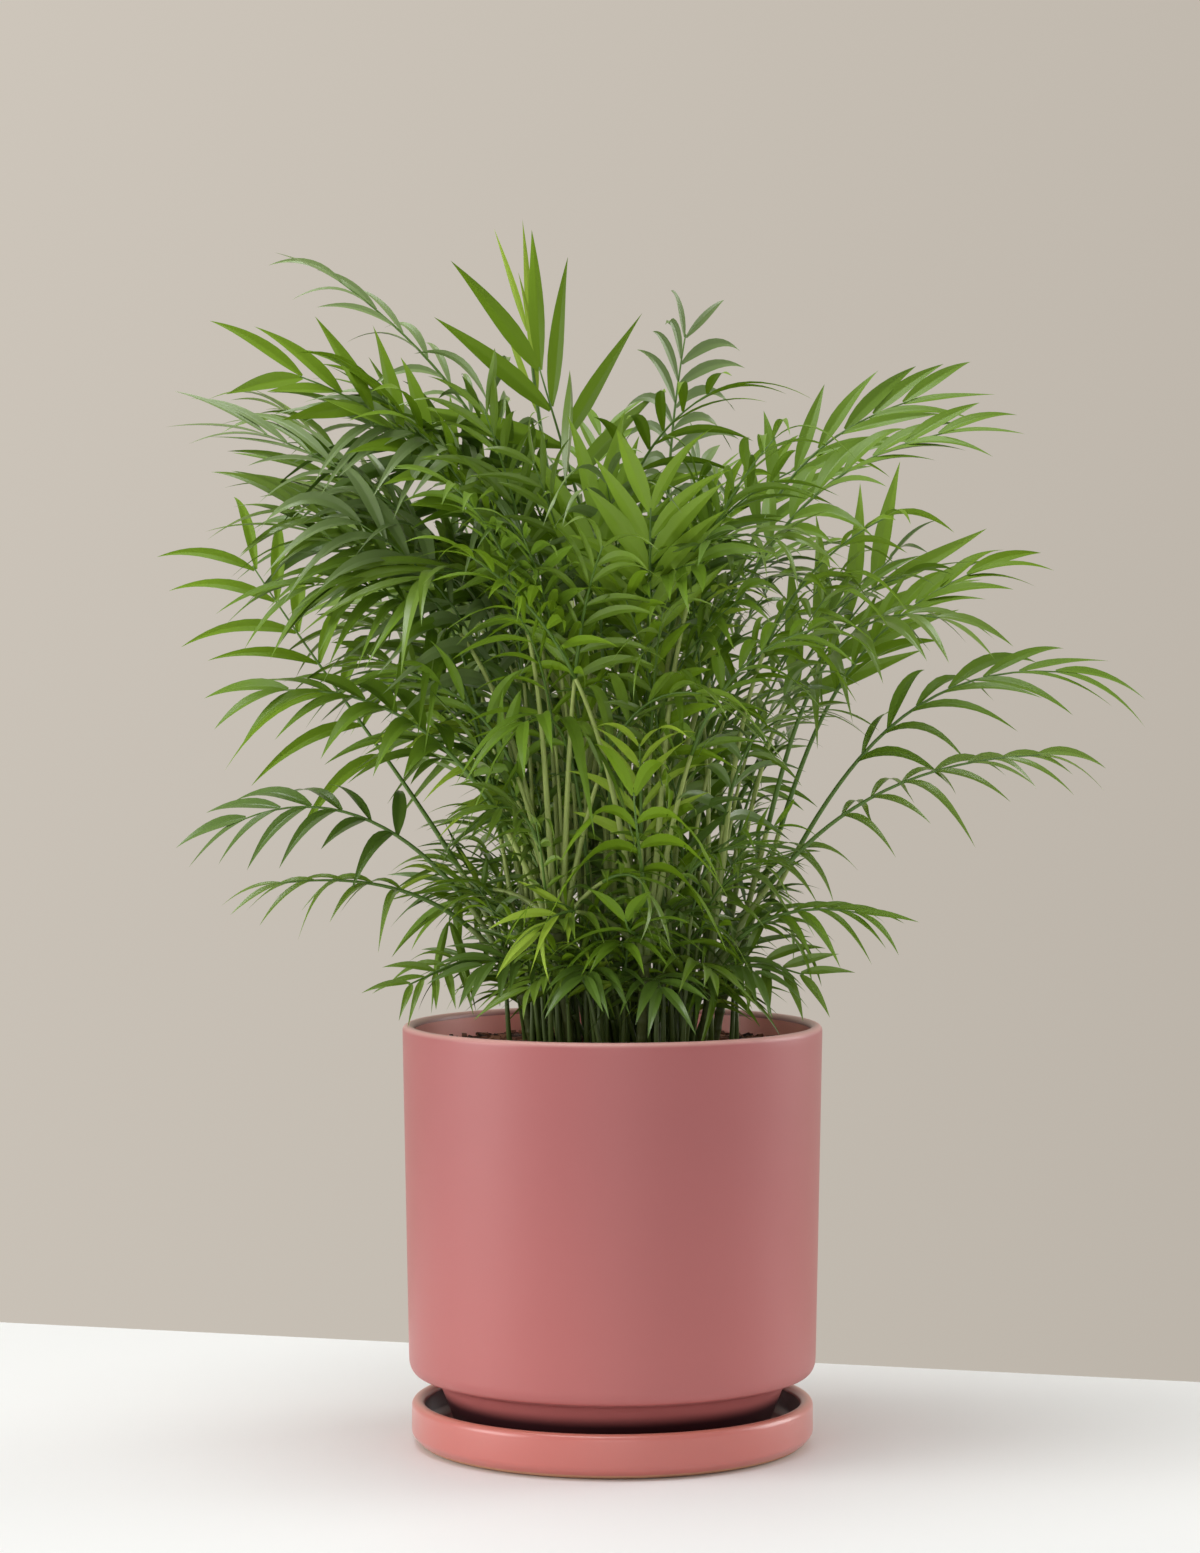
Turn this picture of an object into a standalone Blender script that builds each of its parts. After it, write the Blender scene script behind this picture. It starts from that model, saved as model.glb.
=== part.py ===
"""Parlour palm in a straight-sided glazed pot on its saucer, as separate named solids.

Metres, +Z up. The origin is the centre of the saucer's flat underside and the pot's axis is
the Z axis. A bearing is in degrees round that axis: 0 is +X (right), 90 is +Y (the back),
180 is -X (left) and 270 is -Y (the front).

Short stems stand in the potting mix. Each carries a few fronds on its flat top: a stalk that
rises, leans out and arches over, with pairs of leaflets along its last stretch. The fronds
that make the outline are solids of their own, and those inside the crown are fused in sprays.
"""

import math
from dataclasses import dataclass, replace

import bmesh
import bpy
import numpy as np
from mathutils.bvhtree import BVHTree

MM = 0.001
GAP = 0.3 * MM  # between solids that rest on each other

# Pot, a cylinder that narrows a little, with a foot that stands in the saucer
POT_SEGMENTS = 44
POT_TOP = 0.216
POT_TOP_RADIUS = 0.108
POT_LOW = 0.043
POT_LOW_RADIUS = 0.1048
POT_WALL = 0.006
POT_EDGE = 0.0377
POT_EDGE_RADIUS = 0.102
POT_EDGE_CURVE = (0.7, 0.0016)  # its middle point, as a share of its width and as a height
FOOT_TOP = 0.0335
FOOT_TOP_RADIUS = 0.0895
FOOT_RADIUS = 0.080
FOOT_EDGE = 0.001
POT_FLOOR = 0.010
POT_INNER_STEP = 0.004  # how much higher the inside turns than the outside
POT_FLOOR_CURVE = (0.002, 0.006)  # where the floor's rounded corner starts and ends
LIP_STEPS = 4
SMOOTH_ANGLE = 40.0
WELD = 1e-6

# Saucer, a dish with a round rim and a chamfered lower edge
SAUCER_HEIGHT = 0.023
SAUCER_RADIUS = 0.1034
SAUCER_BASE_RADIUS = 0.0978
SAUCER_WALL = 0.0067
SAUCER_FLOOR = 0.007
SAUCER_CHAMFER = 0.006
SAUCER_INNER_CURVE = (0.001, 0.003, 0.004)

MIX_TOP = 0.203

# Stems: an outer ring and an inner one, counted anticlockwise from the right
OUTER_STEMS = 8
OUTER_FIRST = 10.0  # bearing of the ring's first stem
OUTER_RING = 0.047
OUTER_STEM_HEIGHT = 0.030
OUTER_STEM_LEAN = 11.0
INNER_STEMS = 4
INNER_FIRST = 30.0
INNER_RING = 0.019
INNER_STEM_HEIGHT = 0.085
INNER_STEM_LEAN = 4.0
STEM_HEIGHT_STEP = 0.011
STEM_STEPS = (0, 3, 2, 1)  # height steps of the stems of a ring, in turn
STEM_RADIUS = 0.0022
STEM_FOOT_RADIUS = 0.00275
STEM_TOP_RADIUS = 0.0043
STEM_SWELL = 0.75  # the share of its height above which a stem swells to its top
STEM_SIDES = 6
CLUMP_CENTRE = (0.006, 0.002)

# Stalks: three-sided, thickest where they leave the stem
STALK_RADIUS = 0.0015
STALK_TIP_RADIUS = 0.0010
BARE_STEPS = 4
SIDE_SHARE = 0.87  # a three-sided stalk's half width, as a share of its radius
STALK_PULL = 0.4  # how far the curve follows its first and last direction
SEAT_RING = 0.0026  # the circle on a stem's top that its stalks stand on
SHEATH_RADIUS = 0.0017
SHEATH_TOP_RADIUS = 0.00136
SHEATH_STRAIGHT = 0.0072
SHEATH_HEIGHT = 0.012
SHEATH_SIDES = 5
CURVE_POINTS = 200

# Room that a stalk keeps from those of other fronds, less where two leave one stem
STALK_ROOM = 0.0050
SEAT_ROOM = 0.0032
SEAT_STRETCH = 0.030
STEM_ROOM = 0.0068
SWAYS = (0, 6, -6, 12, -12, 18, -18, 25, -25, 32, -32, 40, -40)  # mm, at the frond's tip
PATH_POINTS = 60
STEM_POINTS = 12

# Leaflets
LEAF_THICKNESS = 0.0009
LEAF_ROOT = 0.0034  # the stretch of rachis that a leaflet grows from
LEAF_WIDEST = 0.42  # where along it a leaflet is widest
LEAF_LIFT = 14.0  # degrees that a pair stands up from flat, as a shallow V
LEAF_BEND = 0.6  # share of the droop that the length of a leaflet allows for
LEAF_LEAST_REACH = 0.8
LEAF_SIZES = (0.8, 0.2, 0.25, 0.6)  # of the least, what a sine adds, and its start and run
LEAF_CLEARANCE = 0.0006
LEAF_OWN_START = 0.12  # leaflets of one frond meet only nearer the rachis than this share
LEAF_TRIES = ((1.0, 0), (1.0, 10), (1.0, -10), (1.0, 20), (0.85, 0), (0.85, -20), (0.7, 10), (0.6, -10))

# Crown: the radius of its leaf tips at some heights
CROWN_HEIGHTS = (0.235, 0.340, 0.400, 0.460, 0.530, 0.590, 0.625)
CROWN_RADII = (0.105, 0.130, 0.175, 0.205, 0.200, 0.130, 0.040)

# Fronds inside the crown, in sprays. Those of the inner stems stay high.
SPRAY = "fronds_"
SPRAY_LETTERS = "abc"
SPRAY_LEVELS = (0.270, 0.550)  # heights of the lowest and the highest rachis tip
SPRAY_STEP = 36.0  # degrees between the sprays of an outer stem
BEARING_SPREAD = 26.0  # degrees that a frond may turn from its spray's middle, either way
HEIGHT_SPREAD = 0.018
FRONT = 270.0
FRONT_HALF = 60.0  # degrees either side of the front where one frond of a spray hangs low
FRONT_LOWEST = 0.375
INNER_LOWEST = 0.43
INNER_RAISE = 0.015
OUTER_REACH = (0.78, 1.05)  # shares of the crown's radius
INNER_REACH = (0.45, 0.80)
LEAST_REACH = 0.03
TIP_LEAF_SHARE = 0.6  # how much of its leaflets a rachis tip keeps clear of the crown's edge
LEAN_SHARE = 0.42  # a stalk's first lean, as a share of its whole slope
UPRIGHT_PITCH = 72.0  # pitch of a frond straight above its stem
PITCH_FALL = 1.9  # degrees of pitch lost for each degree of slope
PITCH_SPREAD = 12.0
ROLL_SPREAD = 30.0
LEAFY_SHARE = 0.5  # the most of its length that a frond bears leaflets along
LEAFY_LENGTHS = (0.080, 0.105)
SPRAY_PAIRS = 2
LOW_FRONDS = 0.34  # fronds below this height have the shorter leaflets
LOW_LEAVES = (0.036, 0.046)
HIGH_LEAVES = (0.050, 0.062)
LEAF_WIDTH_SHARE = 0.26
DROOPS = (0.15, 0.5)
SEED = 11

# Colours, from 0 to 255
GLAZE_PINK = (200, 122, 118)
SAUCER_PINK = (206, 122, 114)
BARK_BROWN = (92, 62, 46)
STEM_GREEN = (150, 164, 84)
LEAF_GREEN = (88, 128, 52)


@dataclass(frozen=True)
class Frond:
    """One frond: where its rachis ends, how it gets there, and its leaflets. Lengths in metres."""

    name: str
    stem: int
    tip: tuple
    lean: float  # degrees from upright where it leaves the stem
    pitch: float  # degrees above level at its tip
    roll: float  # degrees that the blade is turned about the rachis
    leafy: float  # length of rachis that carries leaflets
    pairs: int
    leaf: float
    width: float
    droop: float
    spread: float = 56.0  # degrees between the rachis and the lowest leaflets
    tip_spread: float = 24.0


def outline_frond(name, stem, tip, lean, pitch, roll, leafy, pairs, leaf, width, droop, *angles):
    """A frond given in millimetres."""
    tip = tuple(value * MM for value in tip)
    sizes = (leafy * MM, pairs, leaf * MM, width * MM)
    return Frond(name, stem, tip, lean, pitch, roll, *sizes, droop, *angles)


# Tip right, back and up; then lean, pitch and roll; leafy length, pairs, leaflet length and
# width, droop, and the leaflets' angles where they are not the usual ones.
OUTLINE_FRONDS = (
    outline_frond("frond_left_low", 5, (-188, -22, 322), 24, -22, -38, 78, 5, 46, 11, 0.22),
    outline_frond("frond_left_lowest", 5, (-168, -52, 291), 30, -6, -20, 62, 4, 36, 8, 0.60),
    outline_frond("frond_left_middle", 6, (-163, -66, 388), 20, -2, -22, 84, 5, 50, 13, 0.50),
    outline_frond("frond_left_fresh", 5, (-192, 8, 452), 28, 55, -60, 122, 6, 62, 12, 0.34, 66),
    outline_frond("frond_left_grey", 11, (-176, -34, 517), 16, 20, -30, 92, 6, 52, 10, 0.34),
    outline_frond("frond_left_bright", 11, (-154, -88, 542), 14, 16, -52, 112, 6, 58, 14, 0.08),
    outline_frond("frond_left_top", 10, (-142, 26, 600), 10, 36, -34, 110, 6, 36, 8, 0.42),
    outline_frond("frond_top_fan", 12, (-37, -42, 550), 4, 72, 86, 76, 4, 84, 15, 0.04, 84, 18),
    outline_frond("frond_spear", 10, (-44, 30, 576), 3, 84, 80, 34, 1, 68, 5, 0.0, 11, 6),
    outline_frond("frond_top_curled", 9, (38, 22, 572), 3, 78, 96, 92, 5, 42, 9, 0.45, 70),
    outline_frond("frond_back_small", 9, (76, 70, 508), 8, 60, 70, 40, 3, 32, 8, 0.10),
    outline_frond("frond_right_top", 9, (154, 40, 538), 16, 18, 48, 104, 6, 54, 13, 0.18),
    outline_frond("frond_right_upper", 12, (166, -36, 517), 17, 12, 34, 104, 6, 52, 12, 0.30),
    outline_frond("frond_right_blades", 2, (140, 64, 442), 20, 50, 60, 70, 3, 74, 12, 0.04, 42),
    outline_frond("frond_right_middle", 1, (186, 22, 448), 22, 24, 36, 92, 6, 52, 12, 0.24),
    outline_frond("frond_right_hanging", 1, (164, -48, 424), 24, -12, 26, 80, 5, 46, 11, 0.60),
    outline_frond("frond_right_long", 1, (230, 4, 397), 26, -4, 32, 112, 6, 56, 10, 0.40),
    outline_frond("frond_right_low", 8, (216, -34, 355), 28, 2, 30, 104, 6, 44, 10, 0.42),
    outline_frond("frond_right_lowest", 8, (122, -62, 277), 30, -8, 30, 44, 4, 38, 8, 0.40),
    outline_frond("frond_right_rim", 8, (96, -48, 245), 30, -10, 60, 30, 3, 32, 8, 0.20, 80),
    outline_frond("frond_centre_bright", 12, (18, -118, 476), 10, 58, 6, 74, 4, 62, 15, 0.10, 60),
    outline_frond("frond_front_bright", 7, (10, -100, 338), 6, 66, -4, 46, 3, 52, 13, 0.40, 78),
    outline_frond("frond_front_low", 7, (6, -96, 276), 10, 48, 4, 26, 2, 40, 10, 0.30, 80),
    outline_frond("frond_left_rim", 5, (-112, -60, 242), 32, -14, -30, 34, 4, 30, 7, 0.35, 70),
)


@dataclass(frozen=True)
class Sprays:
    """The sprays of inner fronds that a stem carries."""

    stem: int
    count: int
    fronds: int  # in each spray
    turn: float = 0.0  # degrees that they are turned from the stem's own bearing


STEM_SPRAYS = (
    Sprays(1, 1, 3),
    Sprays(2, 3, 3),
    Sprays(3, 3, 4, 4.0),
    Sprays(4, 3, 4, 4.0),
    Sprays(6, 3, 3),
    Sprays(7, 2, 3),
    Sprays(8, 1, 3),
    Sprays(10, 2, 4),
    Sprays(11, 2, 3),
    Sprays(12, 1, 4),
)


def plan_direction(bearing):
    angle = math.radians(bearing)
    return np.array((math.cos(angle), math.sin(angle), 0.0))


def unit(vector):
    return vector / np.linalg.norm(vector)


@dataclass(frozen=True)
class Stem:
    """A short stem from the potting mix to the flat top that its fronds stand on."""

    number: int
    bearing: float
    root: tuple
    top: tuple


def make_stems():
    """The outer ring of stems, then the inner one, by number."""
    rings = (
        (OUTER_STEMS, OUTER_FIRST, OUTER_RING, OUTER_STEM_HEIGHT, OUTER_STEM_LEAN),
        (INNER_STEMS, INNER_FIRST, INNER_RING, INNER_STEM_HEIGHT, INNER_STEM_LEAN),
    )
    stems = {}
    for count, first, ring, height, lean in rings:
        for step in range(count):
            bearing = first + step * 360.0 / count
            outward = plan_direction(bearing)
            root = outward * ring + (*CLUMP_CENTRE, MIX_TOP + GAP)
            rise = height + STEM_HEIGHT_STEP * STEM_STEPS[step % len(STEM_STEPS)]
            top = root + outward * rise * math.tan(math.radians(lean)) + (0, 0, rise)
            number = len(stems) + 1
            stems[number] = Stem(number, bearing, tuple(root), tuple(top))
    return stems


def crown_radius(height):
    return float(np.interp(height, CROWN_HEIGHTS, CROWN_RADII))


def spray_fronds(stem, sprays, rng):
    """The inner fronds of one stem, as a list for each spray."""
    inner = stem.number > OUTER_STEMS
    step = 360.0 / sprays.count if inner else SPRAY_STEP
    found = []
    for index in range(sprays.count):
        middle = stem.bearing + sprays.turn + step * (index - (sprays.count - 1) / 2)
        name = f"{SPRAY}{stem.number:02d}{SPRAY_LETTERS[index]}"
        half_level = 0.5 * (index % 2)
        fronds = []
        for level in range(sprays.fronds):
            place = (level + half_level) / sprays.fronds
            height = float(np.interp(place, (0, 1), SPRAY_LEVELS))
            bearing = middle + rng.uniform(-BEARING_SPREAD, BEARING_SPREAD)
            from_front = abs((bearing - FRONT + 180) % 360 - 180)
            if from_front < FRONT_HALF and level:
                height = max(height, FRONT_LOWEST)
            if inner:
                height = max(height, INNER_LOWEST) + INNER_RAISE
            height += rng.uniform(-HEIGHT_SPREAD, HEIGHT_SPREAD)
            leaf = rng.uniform(*(HIGH_LEAVES if height > LOW_FRONDS else LOW_LEAVES))
            share = rng.uniform(*(INNER_REACH if inner else OUTER_REACH))
            radius = max(crown_radius(height) - TIP_LEAF_SHARE * leaf, LEAST_REACH) * share
            tip = plan_direction(bearing) * radius + (0, 0, height)
            fronds.append(spray_frond(stem, name, tip, leaf, rng))
        found.append(fronds)
    return found


def spray_frond(stem, name, tip, leaf, rng):
    """An inner frond that ends at tip, arched as its slope asks."""
    chord = tip - stem.top
    slope = math.degrees(math.atan2(math.hypot(chord[0], chord[1]), chord[2]))
    pitch = UPRIGHT_PITCH - PITCH_FALL * slope + rng.uniform(-PITCH_SPREAD, PITCH_SPREAD)
    return Frond(
        name=name,
        stem=stem.number,
        tip=tuple(tip),
        lean=LEAN_SHARE * slope,
        pitch=pitch,
        roll=rng.uniform(-ROLL_SPREAD, ROLL_SPREAD),
        leafy=min(LEAFY_SHARE * np.linalg.norm(chord), rng.uniform(*LEAFY_LENGTHS)),
        pairs=SPRAY_PAIRS,
        leaf=leaf,
        width=LEAF_WIDTH_SHARE * leaf,
        droop=rng.uniform(*DROOPS),
    )


def stalk_curve(frond, seat):
    """The four control points of the stalk, in the upright plane through its seat and its tip."""
    tip = np.array(frond.tip)
    plan = unit((tip - seat) * (1, 1, 0))
    pull = STALK_PULL * np.linalg.norm(tip - seat)
    lean = math.radians(frond.lean)
    pitch = math.radians(frond.pitch)
    up = np.array((0, 0, 1.0))
    first = seat + pull * (plan * math.sin(lean) + up * math.cos(lean))
    last = tip - pull * (plan * math.cos(pitch) + up * math.sin(pitch))
    return np.array((seat, first, last, tip)), plan


def along(curve, share):
    """Points and directions of a cubic curve at the given shares of its parameter."""
    share = np.asarray(share, float)[:, None]
    rest = 1 - share
    points = (
        rest**3 * curve[0]
        + 3 * rest**2 * share * curve[1]
        + 3 * rest * share**2 * curve[2]
        + share**3 * curve[3]
    )
    slopes = 3 * (
        rest**2 * (curve[1] - curve[0])
        + 2 * rest * share * (curve[2] - curve[1])
        + share**2 * (curve[3] - curve[2])
    )
    return points, slopes / np.linalg.norm(slopes, axis=1, keepdims=True)


def curve_shares(curve, distances_from_tip):
    """The shares of the parameter that lie at these lengths before the curve's end."""
    dense = np.linspace(0, 1, CURVE_POINTS)
    points, _ = along(curve, dense)
    steps = np.linalg.norm(np.diff(points, axis=0), axis=1)
    run = np.concatenate(([0.0], np.cumsum(steps)))
    return np.interp(run[-1] - np.asarray(distances_from_tip), run, dense)


def seats_of(stem, bearings):
    """Seats on a stem's top for fronds with these bearings, in the order of the bearings."""
    order = np.argsort(np.mod(bearings, 360))
    count = len(bearings)
    turns = np.empty(count)
    turns[order] = np.arange(count) * 360.0 / count
    off = np.radians(np.asarray(bearings) - turns)
    shift = math.degrees(math.atan2(np.sin(off).sum(), np.cos(off).sum()))
    top = np.array(stem.top) + (0, 0, GAP)
    return [top + SEAT_RING * plan_direction(turn + shift) for turn in turns]


@dataclass
class Grown:
    """A frond whose stalk has found its way, with the curve that it follows."""

    frond: Frond
    seat: np.ndarray
    curve: np.ndarray
    plan: np.ndarray
    path: np.ndarray


def grow(frond, seat):
    curve, plan = stalk_curve(frond, seat)
    path, _ = along(curve, np.linspace(0, 1, PATH_POINTS))
    return Grown(frond, seat, curve, plan, path)


def room_left(grown, others, stems):
    """How much nearer than allowed a stalk comes to its neighbours, as a negative number."""
    path = grown.path
    worst = 1.0
    from_seat = np.linalg.norm(path - grown.seat, axis=1)
    for other in others:
        if other.frond.name == grown.frond.name:
            continue
        apart = np.linalg.norm(path[:, None] - other.path[None], axis=2).min(axis=1)
        need = STALK_ROOM
        if other.frond.stem == grown.frond.stem:
            need = np.interp(from_seat, (0, SEAT_STRETCH), (SEAT_ROOM, STALK_ROOM))
        worst = min(worst, float((apart - need).min()))
    for stem in stems.values():
        if stem.number == grown.frond.stem:
            continue
        line = np.linspace(stem.root, stem.top, STEM_POINTS)
        apart = np.linalg.norm(path[:, None] - line[None], axis=2).min(axis=1)
        worst = min(worst, float(apart.min()) - STEM_ROOM)
    return worst


def settle(frond, seat, others, stems):
    """The frond swayed sideways as far as it takes to clear its neighbours."""
    base = grow(frond, seat)
    across = np.array((-base.plan[1], base.plan[0], 0.0))
    best, most = None, -1.0
    for sway in SWAYS:
        moved = replace(frond, tip=tuple(np.array(frond.tip) + across * sway * MM))
        grown = grow(moved, seat)
        room = room_left(grown, others, stems)
        if room >= 0:
            return grown, True
        if room > most:
            best, most = grown, room
    return best, False


def grow_all(stems):
    """Every frond of the plant in its final place, outline fronds first."""
    rng = np.random.default_rng(SEED)
    sprays = []
    for entry in STEM_SPRAYS:
        sprays += spray_fronds(stems[entry.stem], entry, rng)
    seats = {}
    for stem in stems.values():
        groups = [[frond] for frond in OUTLINE_FRONDS if frond.stem == stem.number]
        groups += [fronds for fronds in sprays if fronds[0].stem == stem.number]
        bearings = []
        for fronds in groups:
            away = sum(np.array(frond.tip) - stem.top for frond in fronds)
            bearings.append(math.degrees(math.atan2(away[1], away[0])))
        for fronds, seat in zip(groups, seats_of(stem, bearings)):
            seats[fronds[0].name] = seat
    grown = []
    for frond in OUTLINE_FRONDS:
        grown.append(settle(frond, seats[frond.name], grown, stems)[0])
    for fronds in sprays:
        for frond in fronds:
            found, clear = settle(frond, seats[frond.name], grown, stems)
            if clear:
                grown.append(found)
    return grown


@dataclass
class Leaf:
    """One leaflet: its root, its first direction, its width's and its face's, and its size."""

    root: np.ndarray
    out: np.ndarray
    across: np.ndarray
    face: np.ndarray
    length: float
    width: float
    droop: float

    def centre(self, share):
        """A point on its midrib, which bends down as it goes."""
        fall = np.array((0, 0, self.droop))
        reach = max(np.linalg.norm(self.out - LEAF_BEND * fall), LEAF_LEAST_REACH)
        return self.root + (self.out * share - fall * share**2) * self.length / reach

    def blade(self):
        """The two edges and the keel where the blade is widest, and its tip."""
        middle = self.centre(LEAF_WIDEST)
        side = self.across * self.width / 2
        keel = middle - self.face * LEAF_THICKNESS
        return [middle - side, middle + side, keel, self.centre(1.0)]

    def hull(self, start=0.0):
        """A closed shape a little larger than the blade from this share on, to test for room."""
        points = []
        narrow = LEAF_ROOT / 2 + start / LEAF_WIDEST * (self.width - LEAF_ROOT) / 2
        for share, half in ((start, narrow), (LEAF_WIDEST, self.width / 2)):
            middle = self.centre(share)
            side = self.across * (half + LEAF_CLEARANCE)
            above = self.face * LEAF_CLEARANCE
            below = self.face * (LEAF_THICKNESS + LEAF_CLEARANCE)
            points += [middle + side, middle + above, middle - side, middle - below]
        points.append(self.centre(1.0) + self.out * LEAF_CLEARANCE)
        faces = [(3, 2, 1, 0)]
        for a in range(4):
            b = (a + 1) % 4
            faces += [(a, b, b + 4, a + 4), (a + 4, b + 4, 8)]
        return points, faces


def turned_about(vector, axis, degrees):
    angle = math.radians(degrees)
    return (
        vector * math.cos(angle)
        + np.cross(axis, vector) * math.sin(angle)
        + axis * np.dot(axis, vector) * (1 - math.cos(angle))
    )


def blade_frame(grown, direction):
    """The side and face directions of the blade about a point of the rachis."""
    side = np.array((-grown.plan[1], grown.plan[0], 0.0))
    face = unit(np.cross(direction, side))
    roll = math.radians(grown.frond.roll)
    return (
        side * math.cos(roll) + face * math.sin(roll),
        face * math.cos(roll) - side * math.sin(roll),
    )


def stalk_radius(share):
    return STALK_RADIUS + (STALK_TIP_RADIUS - STALK_RADIUS) * share


def pair_backs(frond):
    """How far before the rachis tip the middle of each pair's root lies."""
    places = np.arange(frond.pairs + 1) / frond.pairs
    return frond.leafy * (1 - places) + LEAF_ROOT / 2


def leaf_at(grown, pair, hand):
    """The leaflet of a pair, on the left (1) or the right (-1) of the rachis."""
    frond = grown.frond
    place = pair / frond.pairs
    share = curve_shares(grown.curve, [pair_backs(frond)[pair]])
    points, slopes = along(grown.curve, share)
    side, face = blade_frame(grown, slopes[0])
    angle = math.radians(frond.spread + (frond.tip_spread - frond.spread) * place)
    lift = math.radians(LEAF_LIFT)
    away = hand * side * math.cos(lift) + face * math.sin(lift)
    out = unit(slopes[0] * math.cos(angle) + away * math.sin(angle))
    across = unit(slopes[0] - out * np.dot(slopes[0], out))
    blade = unit(np.cross(out, across))
    if np.dot(blade, face) < 0:
        blade = -blade
    least, most, start, run = LEAF_SIZES
    size = least + most * math.sin(math.pi * min(1.0, start + run * place))
    root = points[0] + hand * side * stalk_radius(share[0]) * SIDE_SHARE
    length = frond.leaf * size
    return Leaf(root, out, across, blade, length, frond.width * size, frond.droop)


class Room:
    """The space already taken, as small trees of faces with their boxes and their owners."""

    def __init__(self):
        self.lows = []
        self.highs = []
        self.trees = []
        self.owners = []

    def add(self, owner, points, faces):
        points = np.array(points)
        self.lows.append(points.min(axis=0))
        self.highs.append(points.max(axis=0))
        self.trees.append(BVHTree.FromPolygons(points.tolist(), [tuple(face) for face in faces]))
        self.owners.append(owner)

    def free(self, owner, points, faces):
        """True where these faces cross nothing but what has the same owner."""
        points = np.array(points)
        near = (np.array(self.lows) < points.max(axis=0)) & (np.array(self.highs) > points.min(axis=0))
        tree = None
        for index in np.flatnonzero(near.all(axis=1)):
            if self.owners[index] == owner:
                continue
            if tree is None:
                tree = BVHTree.FromPolygons(points.tolist(), [tuple(face) for face in faces])
            if tree.overlap(self.trees[index]):
                return False
        return True


def fitted_leaf(leaf, owner, room):
    """The leaflet, turned or shortened a little where it would touch something, or None."""
    for scale, turn in LEAF_TRIES:
        tried = replace(
            leaf,
            out=turned_about(leaf.out, leaf.across, turn),
            face=turned_about(leaf.face, leaf.across, turn),
            length=leaf.length * scale,
            width=leaf.width * scale,
        )
        if room.free(owner, *tried.hull()):
            return tried
    return None


def bulging(quad, points, middle):
    """A quad's two triangles, split along the diagonal that lies further from this middle."""
    a, b, c, d = (points[index] for index in quad)
    outward = np.cross(c - a, d - b)
    if np.dot(outward, (a + b + c + d) / 4 - middle) < 0:
        outward = -outward
    if np.dot(outward, a + c - b - d) > 0:
        return [quad[:3], (quad[0], *quad[2:])]
    return [(quad[0], quad[1], quad[3]), quad[1:]]


def frond_solid(grown, leaves):
    """Points and faces of a frond: a three-sided stalk that its leaflets grow out of.

    leaves has the leaflet for each (pair, hand) that found room.
    """
    frond = grown.frond
    lowest = curve_shares(grown.curve, [frond.leafy + LEAF_ROOT])[0]
    shares = list(np.linspace(0, lowest, BARE_STEPS + 1)[:-1])
    for back in pair_backs(frond):
        shares += list(curve_shares(grown.curve, [back + LEAF_ROOT / 2, back - LEAF_ROOT / 2]))
    centres, slopes = along(grown.curve, shares)
    points, faces = [], []
    for centre, slope, share in zip(centres, slopes, shares):
        side, face = blade_frame(grown, slope)
        radius = stalk_radius(share)
        for corner in (side * SIDE_SHARE + face * 0.5, -side * SIDE_SHARE + face * 0.5, -face):
            offset = radius * corner
            if share == 0:
                offset = offset - slope * offset[2] / slope[2]
            points.append(centre + offset)
    first_pair = len(shares) - 2 * (frond.pairs + 1)
    for ring in range(len(shares) - 1):
        here, there = 3 * ring, 3 * ring + 3
        pair, gap = divmod(ring - first_pair, 2)
        faces.append((here, here + 1, there + 1, there))
        for corner, hand in ((0, 1), (1, -1)):
            leaf = None
            if ring >= first_pair and not gap:
                leaf = leaves.get((pair, hand))
            if leaf is None:
                faces.append((here + corner, there + corner, there + 2, here + 2))
                continue
            faces.append((there + corner, there + 2, here + 2))
            start = len(points)
            points += leaf.blade()
            root = (here + corner, there + corner, here + 2)
            middle = (sum(points[index] for index in root) + sum(points[start : start + 3])) / 6
            for a in range(3):
                b = (a + 1) % 3
                faces += bulging((root[a], root[b], start + b, start + a), points, middle)
                faces.append((start + a, start + b, start + 3))
    faces += [(2, 1, 0), tuple(range(len(shares) * 3 - 3, len(shares) * 3))]
    return points, faces


def tube(path, radii, sides):
    """Points and faces of a closed upright tube with level rings."""
    points, faces = [], []
    for centre, radius in zip(path, radii):
        for step in range(sides):
            points.append(centre + radius * plan_direction(360 * step / sides))
    for ring in range(len(path) - 1):
        for step in range(sides):
            a = ring * sides + step
            b = ring * sides + (step + 1) % sides
            faces.append((a, b, b + sides, a + sides))
    faces.append(tuple(range(sides - 1, -1, -1)))
    last = (len(path) - 1) * sides
    faces.append(tuple(range(last, last + sides)))
    return points, faces


def mesh_object(name, points, faces):
    """A mesh object with outward faces, linked to the scene."""
    mesh = bpy.data.meshes.new(name)
    bm = bmesh.new()
    verts = [bm.verts.new(tuple(point)) for point in points]
    for face in faces:
        bm.faces.new([verts[index] for index in face])
    bmesh.ops.recalc_face_normals(bm, faces=bm.faces)
    bm.to_mesh(mesh)
    bm.free()
    obj = bpy.data.objects.new(name, mesh)
    bpy.context.scene.collection.objects.link(obj)
    return obj


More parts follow.
